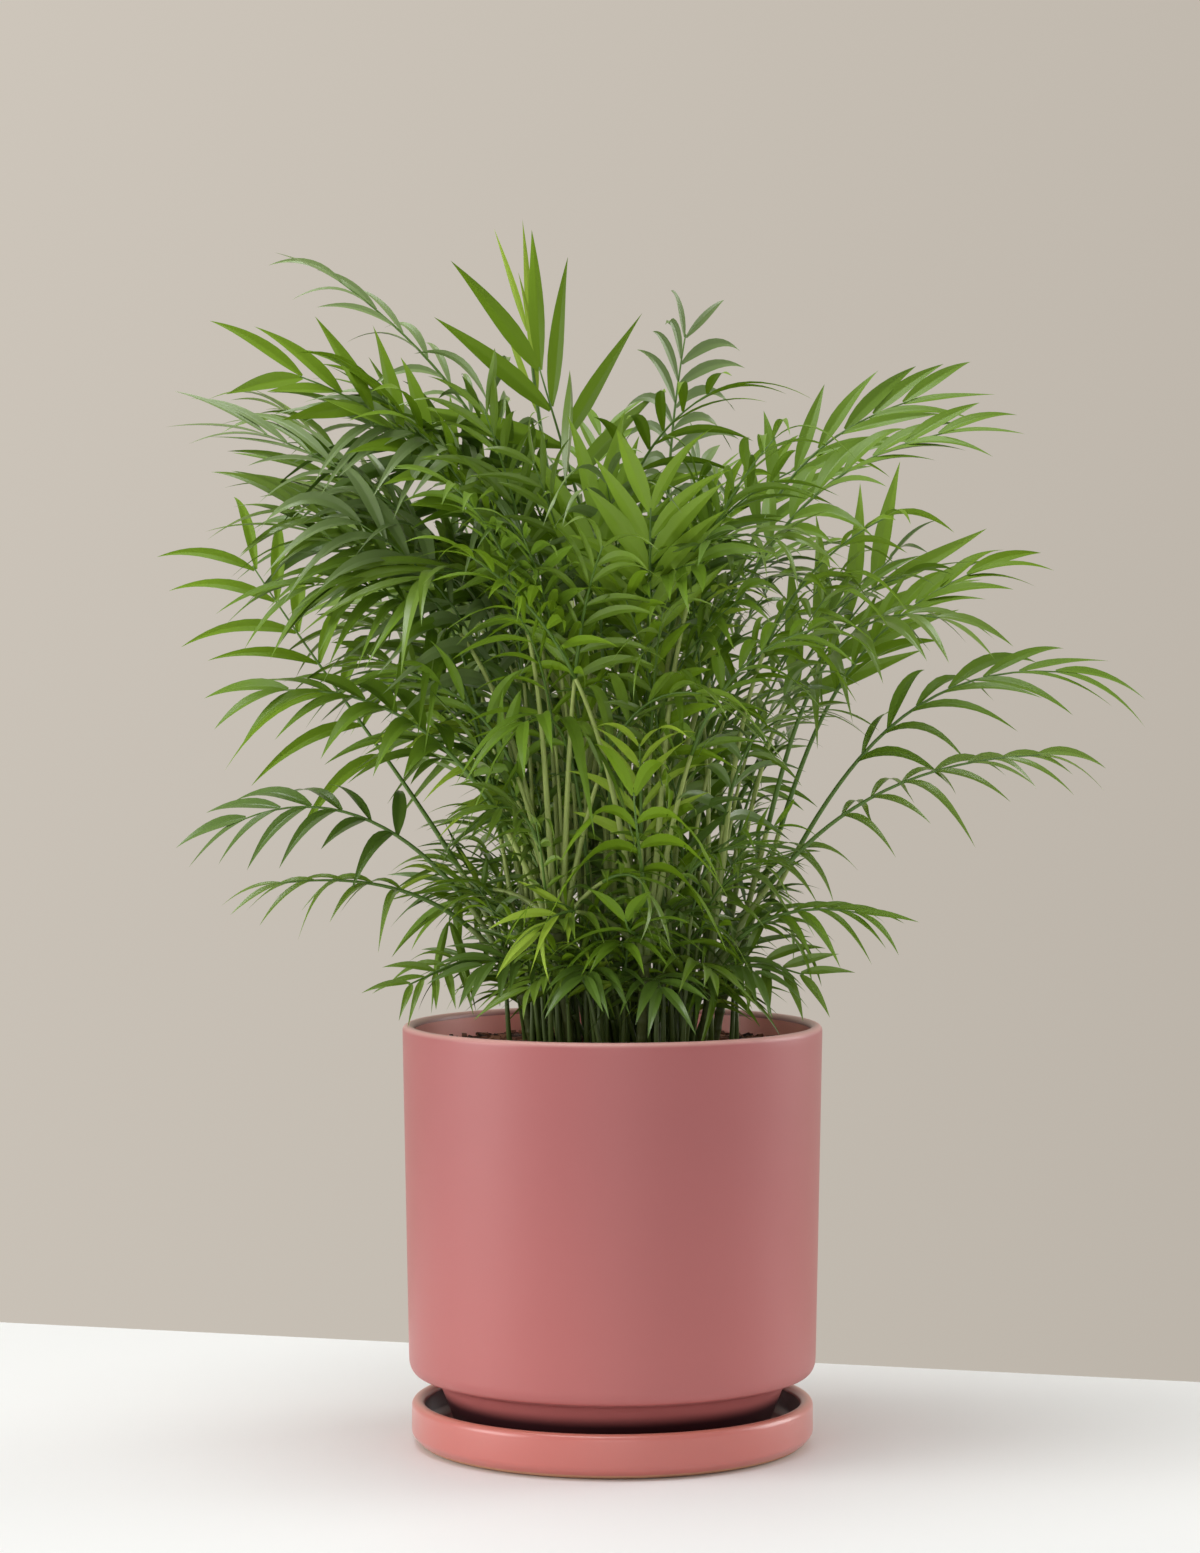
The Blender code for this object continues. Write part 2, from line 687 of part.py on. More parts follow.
def fuse(name, pieces):
    """One solid from pieces that overlap, by a Boolean union on a collection."""
    body = mesh_object(name, *pieces[0])
    if len(pieces) == 1:
        return body
    joined = bpy.data.collections.new(name + "_pieces")
    bpy.context.scene.collection.children.link(joined)
    for index, (points, faces) in enumerate(pieces[1:]):
        piece = mesh_object(f"{name}_piece_{index}", points, faces)
        bpy.context.scene.collection.objects.unlink(piece)
        joined.objects.link(piece)
        piece.hide_render = True
        piece.display_type = "WIRE"
    union = body.modifiers.new("Union", "BOOLEAN")
    union.operation = "UNION"
    union.operand_type = "COLLECTION"
    union.collection = joined
    union.solver = "MANIFOLD"
    bpy.context.view_layer.objects.active = body
    bpy.ops.object.modifier_apply(modifier=union.name)
    for piece in list(joined.objects):
        bpy.data.objects.remove(piece)
    bpy.data.collections.remove(joined)
    return body


def material(name, color, roughness):
    """A Principled material with an sRGB colour given as 0 to 255."""
    linear = [
        (value / 255 / 12.92) if value <= 10 else ((value / 255 + 0.055) / 1.055) ** 2.4
        for value in color
    ]
    made = bpy.data.materials.new(name)
    made.use_nodes = True
    shader = made.node_tree.nodes["Principled BSDF"]
    shader.inputs["Base Color"].default_value = (*linear, 1.0)
    shader.inputs["Roughness"].default_value = roughness
    made.diffuse_color = (*linear, 1.0)
    return made


def turned(name, profile):
    """A solid of revolution from a profile that starts and ends on the axis."""
    mesh = bpy.data.meshes.new(name)
    bm = bmesh.new()
    verts = [bm.verts.new((radius, 0, height)) for radius, height in profile]
    edges = [bm.edges.new(pair) for pair in zip(verts, verts[1:])]
    bmesh.ops.spin(
        bm,
        geom=verts + edges,
        cent=(0, 0, 0),
        axis=(0, 0, 1),
        angle=2 * math.pi,
        steps=POT_SEGMENTS,
        use_merge=True,
    )
    bmesh.ops.remove_doubles(bm, verts=bm.verts, dist=WELD)
    bmesh.ops.recalc_face_normals(bm, faces=bm.faces)
    bm.to_mesh(mesh)
    bm.free()
    mesh.shade_smooth()
    mesh.set_sharp_from_angle(angle=math.radians(SMOOTH_ANGLE))
    obj = bpy.data.objects.new(name, mesh)
    bpy.context.scene.collection.objects.link(obj)
    return obj


def arc(centre, radius, start, end, steps):
    """Points of an arc in the profile's plane, in degrees anticlockwise from outwards."""
    angles = np.radians(np.linspace(start, end, steps + 1))
    return [(centre[0] + radius * math.cos(a), centre[1] + radius * math.sin(a)) for a in angles]


def pot_profile():
    """The pot from the centre of its foot, up the outside, over the lip and down inside."""
    lip = POT_WALL / 2
    foot_low = SAUCER_FLOOR + GAP
    curve_share, curve_rise = POT_EDGE_CURVE
    curve_radius = POT_EDGE_RADIUS + curve_share * (POT_LOW_RADIUS - POT_EDGE_RADIUS)
    outside = [
        (0.0, foot_low),
        (FOOT_RADIUS - FOOT_EDGE, foot_low),
        (FOOT_RADIUS, foot_low + FOOT_EDGE),
        (FOOT_TOP_RADIUS, FOOT_TOP),
        (POT_EDGE_RADIUS, POT_EDGE),
        (curve_radius, POT_EDGE + curve_rise),
        (POT_LOW_RADIUS, POT_LOW),
    ]
    lip_centre = (POT_TOP_RADIUS - lip, POT_TOP - lip)
    return outside + arc(lip_centre, lip, 0, 180, LIP_STEPS) + pot_inside()


def pot_inside(inset=0.0):
    """The pot's inner profile from the lip's foot down to the axis, drawn in by inset."""
    wall = POT_WALL + inset
    floor = SAUCER_FLOOR + GAP + POT_FLOOR + inset
    start, end = POT_FLOOR_CURVE
    return [
        (POT_LOW_RADIUS - wall, POT_LOW + POT_INNER_STEP),
        (FOOT_TOP_RADIUS - wall, FOOT_TOP + POT_INNER_STEP + inset),
        (FOOT_RADIUS - wall - start, floor + start),
        (FOOT_RADIUS - wall - end, floor),
        (0.0, floor),
    ]


def saucer_profile():
    """The saucer from the centre of its underside, up the outside, over the rim and down."""
    rim = SAUCER_WALL / 2
    inner = SAUCER_RADIUS - SAUCER_WALL
    first, rise, second = SAUCER_INNER_CURVE
    return [
        (0.0, 0.0),
        (SAUCER_BASE_RADIUS, 0.0),
        (SAUCER_RADIUS, SAUCER_CHAMFER),
        *arc((SAUCER_RADIUS - rim, SAUCER_HEIGHT - rim), rim, 0, 180, LIP_STEPS),
        (inner - first, SAUCER_FLOOR + rise),
        (inner - second, SAUCER_FLOOR),
        (0.0, SAUCER_FLOOR),
    ]


def mix_profile():
    """The potting mix, which fills the pot's inside with a small gap all round."""
    slope = (POT_TOP_RADIUS - POT_LOW_RADIUS) / (POT_TOP - POT_LOW)
    above = MIX_TOP - POT_LOW - POT_INNER_STEP
    top_radius = POT_LOW_RADIUS - POT_WALL + slope * above - GAP
    return [(0.0, MIX_TOP), (top_radius, MIX_TOP), *pot_inside(GAP)]


def vessel(room):
    """Pot, saucer and potting mix."""
    pieces = (
        ("pot", pot_profile(), GLAZE_PINK, 0.35),
        ("saucer", saucer_profile(), SAUCER_PINK, 0.25),
        ("potting_mix", mix_profile(), BARK_BROWN, 0.95),
    )
    for name, profile, color, roughness in pieces:
        obj = turned(name, profile)
        obj.data.materials.append(material(name, color, roughness))
        points = [tuple(vertex.co) for vertex in obj.data.vertices]
        room.add(name, points, [tuple(face.vertices) for face in obj.data.polygons])


def stem_solid(stem):
    """A tapering stem that swells to the flat top where its stalks part."""
    shares = (0.0, STEM_SWELL, 1.0)
    radii = (STEM_FOOT_RADIUS, STEM_RADIUS, STEM_TOP_RADIUS)
    root, top = np.array(stem.root), np.array(stem.top)
    points = [root + (top - root) * share for share in shares]
    return tube(points, radii, STEM_SIDES)


def sheath(seat):
    """The sleeve that the stalks of one spray rise from."""
    points = [seat + (0, 0, rise) for rise in (0, SHEATH_STRAIGHT, SHEATH_HEIGHT)]
    radii = (SHEATH_RADIUS, SHEATH_RADIUS, SHEATH_TOP_RADIUS)
    return tube(points, radii, SHEATH_SIDES)


def plant(room):
    """Stems and fronds, each clear of its neighbours."""
    stems = make_stems()
    for stem in stems.values():
        name = f"stem_{stem.number:02d}"
        points, faces = stem_solid(stem)
        obj = mesh_object(name, points, faces)
        obj.data.materials.append(material(name, STEM_GREEN, 0.5))
        room.add(name, points, faces)
    grown = grow_all(stems)
    for number, item in enumerate(grown):
        room.add(number, *frond_solid(item, {}))
    solids = {}
    for number, item in enumerate(grown):
        leaves = {}
        for pair in reversed(range(item.frond.pairs + 1)):
            for hand in (1, -1):
                leaf = fitted_leaf(leaf_at(item, pair, hand), number, room)
                if leaf is not None:
                    leaves[pair, hand] = leaf
                    room.add(number, *leaf.hull())
                    room.add(None, *leaf.hull(LEAF_OWN_START))
        solids.setdefault(item.frond.name, []).append(frond_solid(item, leaves))
    for name, parts in solids.items():
        if name.startswith(SPRAY):
            seat = next(item.seat for item in grown if item.frond.name == name)
            parts.append(sheath(seat))
        obj = fuse(name, parts)
        obj.data.materials.append(material(name, LEAF_GREEN, 0.45))


def main():
    for obj in list(bpy.data.objects):
        bpy.data.objects.remove(obj)
    room = Room()
    vessel(room)
    plant(room)


main()
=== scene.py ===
"""Looks of a potted parlour palm: glazed pot and saucer, bark mix, ringed canes and feathered fronds.

Lengths are in metres in the part's own frame: +Z up, the origin at the centre of the saucer's
underside, the front at -Y. A bearing is in degrees round +Z, from +X (right).
"""

import logging
import math
from collections.abc import Iterable, Sequence
from dataclasses import dataclass, field, replace
from enum import Enum

import bpy
import numpy as np
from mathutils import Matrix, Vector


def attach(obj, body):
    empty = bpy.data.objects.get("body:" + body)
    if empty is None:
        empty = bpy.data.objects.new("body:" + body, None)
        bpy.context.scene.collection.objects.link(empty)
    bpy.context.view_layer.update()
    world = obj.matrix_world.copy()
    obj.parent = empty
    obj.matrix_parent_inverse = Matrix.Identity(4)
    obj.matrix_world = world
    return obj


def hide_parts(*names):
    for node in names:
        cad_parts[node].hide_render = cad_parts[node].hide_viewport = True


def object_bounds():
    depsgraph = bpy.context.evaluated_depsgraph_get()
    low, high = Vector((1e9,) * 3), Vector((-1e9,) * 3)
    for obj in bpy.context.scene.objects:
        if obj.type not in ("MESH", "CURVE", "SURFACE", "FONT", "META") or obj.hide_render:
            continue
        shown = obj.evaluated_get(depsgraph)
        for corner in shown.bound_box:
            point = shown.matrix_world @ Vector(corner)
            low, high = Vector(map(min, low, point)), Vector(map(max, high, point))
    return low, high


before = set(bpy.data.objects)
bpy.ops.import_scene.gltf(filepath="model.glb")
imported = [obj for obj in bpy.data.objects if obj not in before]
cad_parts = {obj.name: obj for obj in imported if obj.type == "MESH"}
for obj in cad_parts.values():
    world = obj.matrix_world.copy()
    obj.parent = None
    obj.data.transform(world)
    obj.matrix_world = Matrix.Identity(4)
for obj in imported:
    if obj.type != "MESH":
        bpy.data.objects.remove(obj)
CAD_LOW, CAD_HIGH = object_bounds()

LOG = logging.getLogger("palm")
MM = 0.001
GOLDEN_SHARE = 0.381966  # of a full turn, from one new frond to the next
Point = tuple[float, float, float]


# Materials.


def linear(colour: str) -> tuple[float, float, float, float]:
    """Turn an sRGB hex colour to linear.

    Args:
        colour: Six hex digits, such as "C87A76".

    Returns:
        Red, green, blue and an alpha of 1.
    """
    parts = [int(colour[i : i + 2], 16) / 255 for i in (0, 2, 4)]
    red, green, blue = [v / 12.92 if v <= 0.04045 else ((v + 0.055) / 1.055) ** 2.4 for v in parts]
    return (red, green, blue, 1.0)


def add_node(
    tree: bpy.types.NodeTree, kind: str, links: dict | None = None, **settings: object
) -> bpy.types.Node:
    """Add a shader node with its settings and links.

    Args:
        tree: The material's node tree.
        kind: The node's type name.
        links: For an input's name or number, the output socket that feeds it, or its value.
        settings: Attributes of the node.

    Returns:
        The node.
    """
    node = tree.nodes.new(kind)
    for name, value in settings.items():
        setattr(node, name, value)
    for name, value in (links or {}).items():
        if isinstance(value, bpy.types.NodeSocket):
            tree.links.new(value, node.inputs[name])
        else:
            node.inputs[name].default_value = value
    return node


def new_material(
    name: str, values: dict
) -> tuple[bpy.types.Material, bpy.types.NodeTree, bpy.types.Node]:
    """Make a Principled material.

    Args:
        name: The material's name.
        values: Values for the shader's own sockets, by name.

    Returns:
        The material, its tree and its shader.
    """
    material = bpy.data.materials.new(name)
    material.use_nodes = True
    tree = material.node_tree
    shader = tree.nodes["Principled BSDF"]
    for socket, value in values.items():
        shader.inputs[socket].default_value = value
    return material, tree, shader


@dataclass(frozen=True)
class SatinGlaze:
    """A satin glaze on stoneware with a fine matt grain, painted deeper high up than low down as the crown's
    shade.

    It is paler where it thins on an edge, which on the pot's rim is also a painted highlight.
    At the foot it is painted dark, as the shade where the pot goes down into the saucer.
    """

    name: str
    colour: str
    edge_colour: str
    edge_height: float  # above this the glaze thins over the rim, and on the pot's rim takes a painted highlight
    roughness: float
    coat: float
    foot_shade_colour: str = ""  # painted shade where the foot goes down into the saucer, or nothing
    foot_shade_heights: tuple[float, float] = (0.0225, 0.0300)
    shaded_high_colour: str = ""  # its colour high up, painted darker as the crown's shade, or the same
    crown_shade_heights: tuple[float, float] = (0.060, 0.190)
    thinning_and_highlight: float = 0.0026  # the height over which it thins and the painted highlight comes in
    mottle: float = 0.25
    mottle_mm: float = 71.43
    grain_mm: float = 0.9

    def make(self) -> bpy.types.Material:
        """Make the glaze's material.

        Returns:
            The material.
        """
        values = {"Roughness": self.roughness, "IOR": 1.5, "Coat Weight": self.coat, "Coat Roughness": 0.28}
        material, tree, shader = new_material(self.name, values)
        place = add_node(tree, "ShaderNodeTexCoord").outputs["Object"]
        height = add_node(tree, "ShaderNodeSeparateXYZ", {0: place}).outputs["Z"]
        # the edge colour: glaze thinning over a rim, which on the pot is also a painted highlight
        links = {"Value": height, "From Min": self.edge_height, "From Max": self.edge_height + self.thinning_and_highlight}
        thin = add_node(tree, "ShaderNodeMapRange", links, interpolation_type="SMOOTHSTEP").outputs[0]
        links = {"Vector": place, "Scale": 1.0 / (self.mottle_mm * MM), "Detail": 3.0}
        cloud = add_node(tree, "ShaderNodeTexNoise", links)
        # painted shade: the glaze deepens towards the top, where the crown shades the pot
        links = {"Value": height, "From Min": self.crown_shade_heights[0], "From Max": self.crown_shade_heights[1]}
        rise = add_node(tree, "ShaderNodeMapRange", links)
        links = {0: cloud.outputs[0], 1: self.mottle, 2: rise.outputs[0]}
        share = add_node(tree, "ShaderNodeMath", links, operation="MULTIPLY_ADD")
        tint = add_node(tree, "ShaderNodeMix", {0: share.outputs[0]}, data_type="RGBA")
        tint.inputs[6].default_value = linear(self.colour)
        tint.inputs[7].default_value = linear(self.shaded_high_colour or self.colour)
        edge = add_node(tree, "ShaderNodeMix", {0: thin, 6: tint.outputs[2]}, data_type="RGBA")
        edge.inputs[7].default_value = linear(self.edge_colour)
        # painted shade: dark at the foot, where the pot goes down into the saucer
        if self.foot_shade_colour:
            links = {"Value": height, "From Min": self.foot_shade_heights[0], "From Max": self.foot_shade_heights[1]}
            clear = add_node(tree, "ShaderNodeMapRange", links, interpolation_type="SMOOTHSTEP").outputs[0]
            edge = add_node(tree, "ShaderNodeMix", {0: clear, 7: edge.outputs[2]}, data_type="RGBA")
            edge.inputs[6].default_value = linear(self.foot_shade_colour)
        tree.links.new(edge.outputs[2], shader.inputs["Base Color"])
        # the grain of a matt glaze is finer than this and is drawn as coarse as it needs to show
        scale = 1.0 / (self.grain_mm * MM)
        grain = add_node(tree, "ShaderNodeTexNoise", {"Vector": place, "Scale": scale, "Detail": 2.0})
        links = {"Height": grain.outputs[0], "Strength": 0.12, "Distance": 0.2 * MM}
        bump = add_node(tree, "ShaderNodeBump", links)
        tree.links.new(bump.outputs[0], shader.inputs["Normal"])
        return material


@dataclass(frozen=True)
class BareClay:
    """Unglazed buff stoneware, as on a foot wiped clean before firing: matt and faintly gritty."""

    name: str = "bare_stoneware"
    colour: str = "CF9C7C"
    grit_mm: float = 0.7

    def make(self) -> bpy.types.Material:
        """Make the clay's material.

        Returns:
            The material.
        """
        values = {"Roughness": 0.82, "Base Color": linear(self.colour)}
        material, tree, shader = new_material(self.name, values)
        place = add_node(tree, "ShaderNodeTexCoord").outputs["Object"]
        links = {"Vector": place, "Scale": 1.0 / (self.grit_mm * MM), "Detail": 4.0}
        grit = add_node(tree, "ShaderNodeTexNoise", links)
        links = {"Height": grit.outputs[0], "Strength": 0.4, "Distance": 0.2 * MM}
        bump = add_node(tree, "ShaderNodeBump", links)
        tree.links.new(bump.outputs[0], shader.inputs["Normal"])
        return material


@dataclass(frozen=True)
class Bark:
    """Composted pine bark: matt brown, with a coarse fibre that catches a little light."""

    name: str
    colour: str
    dark: str
    fibre_mm: float = 1.6

    def make(self) -> bpy.types.Material:
        """Make the bark's material.

        Returns:
            The material.
        """
        material, tree, shader = new_material(self.name, {"Roughness": 0.9})
        place = add_node(tree, "ShaderNodeTexCoord").outputs["Object"]
        links = {"Vector": place, "Scale": 1.0 / (self.fibre_mm * MM), "Detail": 5.0, "Roughness": 0.65}
        fibre = add_node(tree, "ShaderNodeTexNoise", links).outputs[0]
        tint = add_node(tree, "ShaderNodeMix", {0: fibre}, data_type="RGBA")
        tint.inputs[6].default_value = linear(self.dark)
        tint.inputs[7].default_value = linear(self.colour)
        tree.links.new(tint.outputs[2], shader.inputs["Base Color"])
        links = {"Height": fibre, "Strength": 0.8, "Distance": 0.8 * MM}
        bump = add_node(tree, "ShaderNodeBump", links)
        tree.links.new(bump.outputs[0], shader.inputs["Normal"])
        return material


@dataclass(frozen=True)
class LeafSkin:
    """A palm leaflet's waxy skin: plain green under a soft gloss, ribbed by its parallel veins.

    The veins follow the leaflet's own UV map, whose U runs from edge to edge.
    """

    name: str
    colour: str
    roughness: float
    coat: float
    shine: float = 0.5
    veins: int = 3  # fewer than a real leaflet's, so that they show

    def make(self) -> bpy.types.Material:
        """Make the leaf's material.

        Returns:
            The material.
        """
        values = {
            "Base Color": linear(self.colour),
            "Roughness": self.roughness,
            "IOR": 1.45,
            "Specular IOR Level": self.shine,
            "Coat Weight": self.coat,
            "Coat Roughness": 0.24,
        }
        material, tree, shader = new_material(self.name, values)
        place = add_node(tree, "ShaderNodeUVMap", uv_map="leaf")
        across = add_node(tree, "ShaderNodeSeparateXYZ", {0: place.outputs[0]}).outputs["X"]
        links = {0: across, 1: self.veins * math.tau}
        turns = add_node(tree, "ShaderNodeMath", links, operation="MULTIPLY")
        wave = add_node(tree, "ShaderNodeMath", {0: turns.outputs[0]}, operation="COSINE")
        links = {"Height": wave.outputs[0], "Strength": 0.1, "Distance": 0.1 * MM}
        bump = add_node(tree, "ShaderNodeBump", links)
        tree.links.new(bump.outputs[0], shader.inputs["Normal"])
        return material


@dataclass(frozen=True)
class CaneSkin:
    """The smooth skin of a stalk or cane: faintly streaked along its length, with a low gloss."""

    name: str
    colour: str
    streak: str
    low: str  # its green near the mix
    roughness: float = 0.42
    streak_mm: float = 1.2
    stretch: float = 0.12  # how much slower the streaks change along the stalk
    green_below: float = 0.225
    pale_above: float = 0.33

    def make(self) -> bpy.types.Material:
        """Make the skin's material.

        Returns:
            The material.
        """
        material, tree, shader = new_material(self.name, {"Roughness": self.roughness, "IOR": 1.45})
        place = add_node(tree, "ShaderNodeTexCoord").outputs["Object"]
        links = {"Vector": place, "Scale": (1.0, 1.0, self.stretch)}
        drawn = add_node(tree, "ShaderNodeMapping", links)
        links = {"Vector": drawn.outputs[0], "Scale": 1.0 / (self.streak_mm * MM), "Detail": 2.0}
        noise = add_node(tree, "ShaderNodeTexNoise", links).outputs[0]
        tint = add_node(tree, "ShaderNodeMix", {0: noise}, data_type="RGBA")
        tint.inputs[6].default_value = linear(self.colour)
        tint.inputs[7].default_value = linear(self.streak)
        height = add_node(tree, "ShaderNodeSeparateXYZ", {0: place}).outputs["Z"]
        links = {"Value": height, "From Min": self.green_below, "From Max": self.pale_above}
        share = add_node(tree, "ShaderNodeMapRange", links, interpolation_type="SMOOTHSTEP").outputs[0]
        # the green darkens towards the mix
        darker_near_mix = add_node(tree, "ShaderNodeMix", {0: share, 7: tint.outputs[2]}, data_type="RGBA")
        darker_near_mix.inputs[6].default_value = linear(self.low)
        tree.links.new(darker_near_mix.outputs[2], shader.inputs["Base Color"])
        return material


class Tone(Enum):
    """The greens that the leaflets come in, by the age and the lie of their frond."""

    FRESH = LeafSkin("leaf_fresh", "80A02A", 0.44, 0.1, 0.4)
    BRIGHT = LeafSkin("leaf_bright", "6B8A18", 0.48, 0.0, 0.2)
    GREEN = LeafSkin("leaf_green", "658420", 0.42, 0.05, 0.3)
    DEEP = LeafSkin("leaf_deep", "6A8628", 0.34, 0.2, 0.5)
    DARK = LeafSkin("leaf_dark", "58742A", 0.32, 0.3, 0.5)
    # a green greyed as a painted sheen of sky on glossy leaflets
    GREY = LeafSkin("leaf_grey_painted_sheen", "768C52", 0.38, 0.15, 0.4)
    PALE = LeafSkin("leaf_pale", "93AE36", 0.50, 0.0, 0.25)


# Making and placing pieces.


def settle_piece(obj: bpy.types.Object, nodes: Iterable[str] = ()) -> None:
    """Make a finished mesh part of the plant.

    Args:
        obj: The piece, at the origin.
        nodes: The solids that it stands for.
    """
    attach(obj, "root")
    nodes = list(nodes)
    if nodes:
        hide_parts(*nodes)
    LOG.info("%s: %d faces, for %d solids", obj.name, len(obj.data.polygons), len(nodes))


def deselect() -> None:
    """Deselect every object."""
    bpy.ops.object.select_all(action="DESELECT")


def object_from(
    name: str, points: np.ndarray, faces: list[tuple[int, ...]], material: bpy.types.Material
) -> bpy.types.Object:
    """Make a smooth mesh object from arrays.

    Args:
        name: The object's name.
        points: The vertices.
        faces: Rows of vertex numbers.
        material: Its only material.

    Returns:
        The object, linked to the scene.
    """
    mesh = bpy.data.meshes.new(name)
    mesh.from_pydata(points.tolist(), [], faces)
    mesh.shade_smooth()
    mesh.materials.append(material)
    obj = bpy.data.objects.new(name, mesh)
    bpy.context.scene.collection.objects.link(obj)
    return obj


def unit(vectors: np.ndarray) -> np.ndarray:
    """Scale vectors to a length of 1."""
    return vectors / np.linalg.norm(vectors, axis=-1, keepdims=True)


def plan_direction(bearing: float) -> np.ndarray:
    """Give the level unit vector at a bearing."""
    angle = math.radians(bearing)
    return np.array((math.cos(angle), math.sin(angle), 0.0))


def leftwards(level: np.ndarray) -> np.ndarray:
    """Turn a level vector a quarter round +Z."""
    return np.array((-level[1], level[0], 0.0))


def lean_of(chord: np.ndarray) -> float:
    """Give the degrees by which a vector leans from upright."""
    return math.degrees(math.atan2(math.hypot(chord[0], chord[1]), chord[2]))


def run_along(points: np.ndarray) -> np.ndarray:
    """Give the length of a line of points up to each of them."""
    return np.concatenate(([0.0], np.cumsum(np.linalg.norm(np.diff(points, axis=0), axis=1))))


def tube_rings(
    centres: np.ndarray, side: np.ndarray, face: np.ndarray, radius: np.ndarray, sides: int
) -> np.ndarray:
    """Set rings of points round a line.

    Args:
        centres: The middle of each ring.
        side: Each ring's first direction, or one for all.
        face: Each ring's second direction, or one for all.
        radius: Each ring's radius.
        sides: How many points a ring has.

    Returns:
        The points by ring.
    """
    turn = np.radians(np.arange(sides) * 360 / sides)
    ring = side[:, None] * np.cos(turn)[None, :, None] + face[:, None] * np.sin(turn)[None, :, None]
    return centres[:, None] + ring * radius[:, None, None]


def tube_faces(rings: int, sides: int, start: int = 0) -> list[tuple[int, ...]]:
    """Give the faces of a tube, with its ends closed.

    Args:
        rings: How many rings it has.
        sides: How many points a ring has.
        start: The number of its first vertex.

    Returns:
        The vertex numbers of each face.
    """
    faces = []
    for first in range(start, start + (rings - 1) * sides, sides):
        for step in range(sides):
            a, b = first + step, first + (step + 1) % sides
            faces.append((a, b, b + sides, a + sides))
    last = start + (rings - 1) * sides
    return faces + [tuple(range(start + sides - 1, start - 1, -1)), tuple(range(last, last + sides))]


def arc(
    centre: tuple[float, float], radius: float, start: float, end: float, steps: int
) -> list[tuple[float, float]]:
    """Give points of an arc in a profile's plane.

    Args:
        centre: Its radius from the axis and its height.
        radius: The arc's radius.
        start: Its first angle in degrees, from outwards towards up.
        end: Its last angle.
        steps: How many steps it has.

    Returns:
        (radius, height) pairs.
    """
    angles = np.radians(np.linspace(start, end, steps + 1))
    return [(centre[0] + radius * math.cos(a), centre[1] + radius * math.sin(a)) for a in angles]


def throw(name: str, profile: Sequence[tuple[float, float]], segments: int) -> bpy.types.Object:
    """Raise a round hollow form ring by ring, as on a wheel.

    Args:
        name: The object's name.
        profile: (radius, height) of each ring, from the rim of the underside to that of the floor.
        segments: Vertices in a ring.

    Returns:
        The object, closed by a flat face at each end.
    """
    deselect()
    radius, height = profile[0]
    start = {"radius": radius, "location": (0, 0, height)}
    bpy.ops.mesh.primitive_circle_add(vertices=segments, fill_type="NGON", **start)
    obj = bpy.context.object
    obj.name = obj.data.name = name
    bpy.ops.object.transform_apply(location=True, rotation=True, scale=True)
    bpy.ops.object.mode_set(mode="EDIT")
    for next_radius, next_height in profile[1:]:
        move = {"value": (0, 0, next_height - height)}
        bpy.ops.mesh.extrude_region_move(TRANSFORM_OT_translate=move)
        share = next_radius / radius
        bpy.ops.transform.resize(value=(share, share, 1), center_override=(0, 0, next_height))
        radius, height = next_radius, next_height
    bpy.ops.mesh.select_all(action="SELECT")
    bpy.ops.mesh.normals_make_consistent(inside=False)
    bpy.ops.object.mode_set(mode="OBJECT")
    return obj


# The pot, its saucer and the mix.


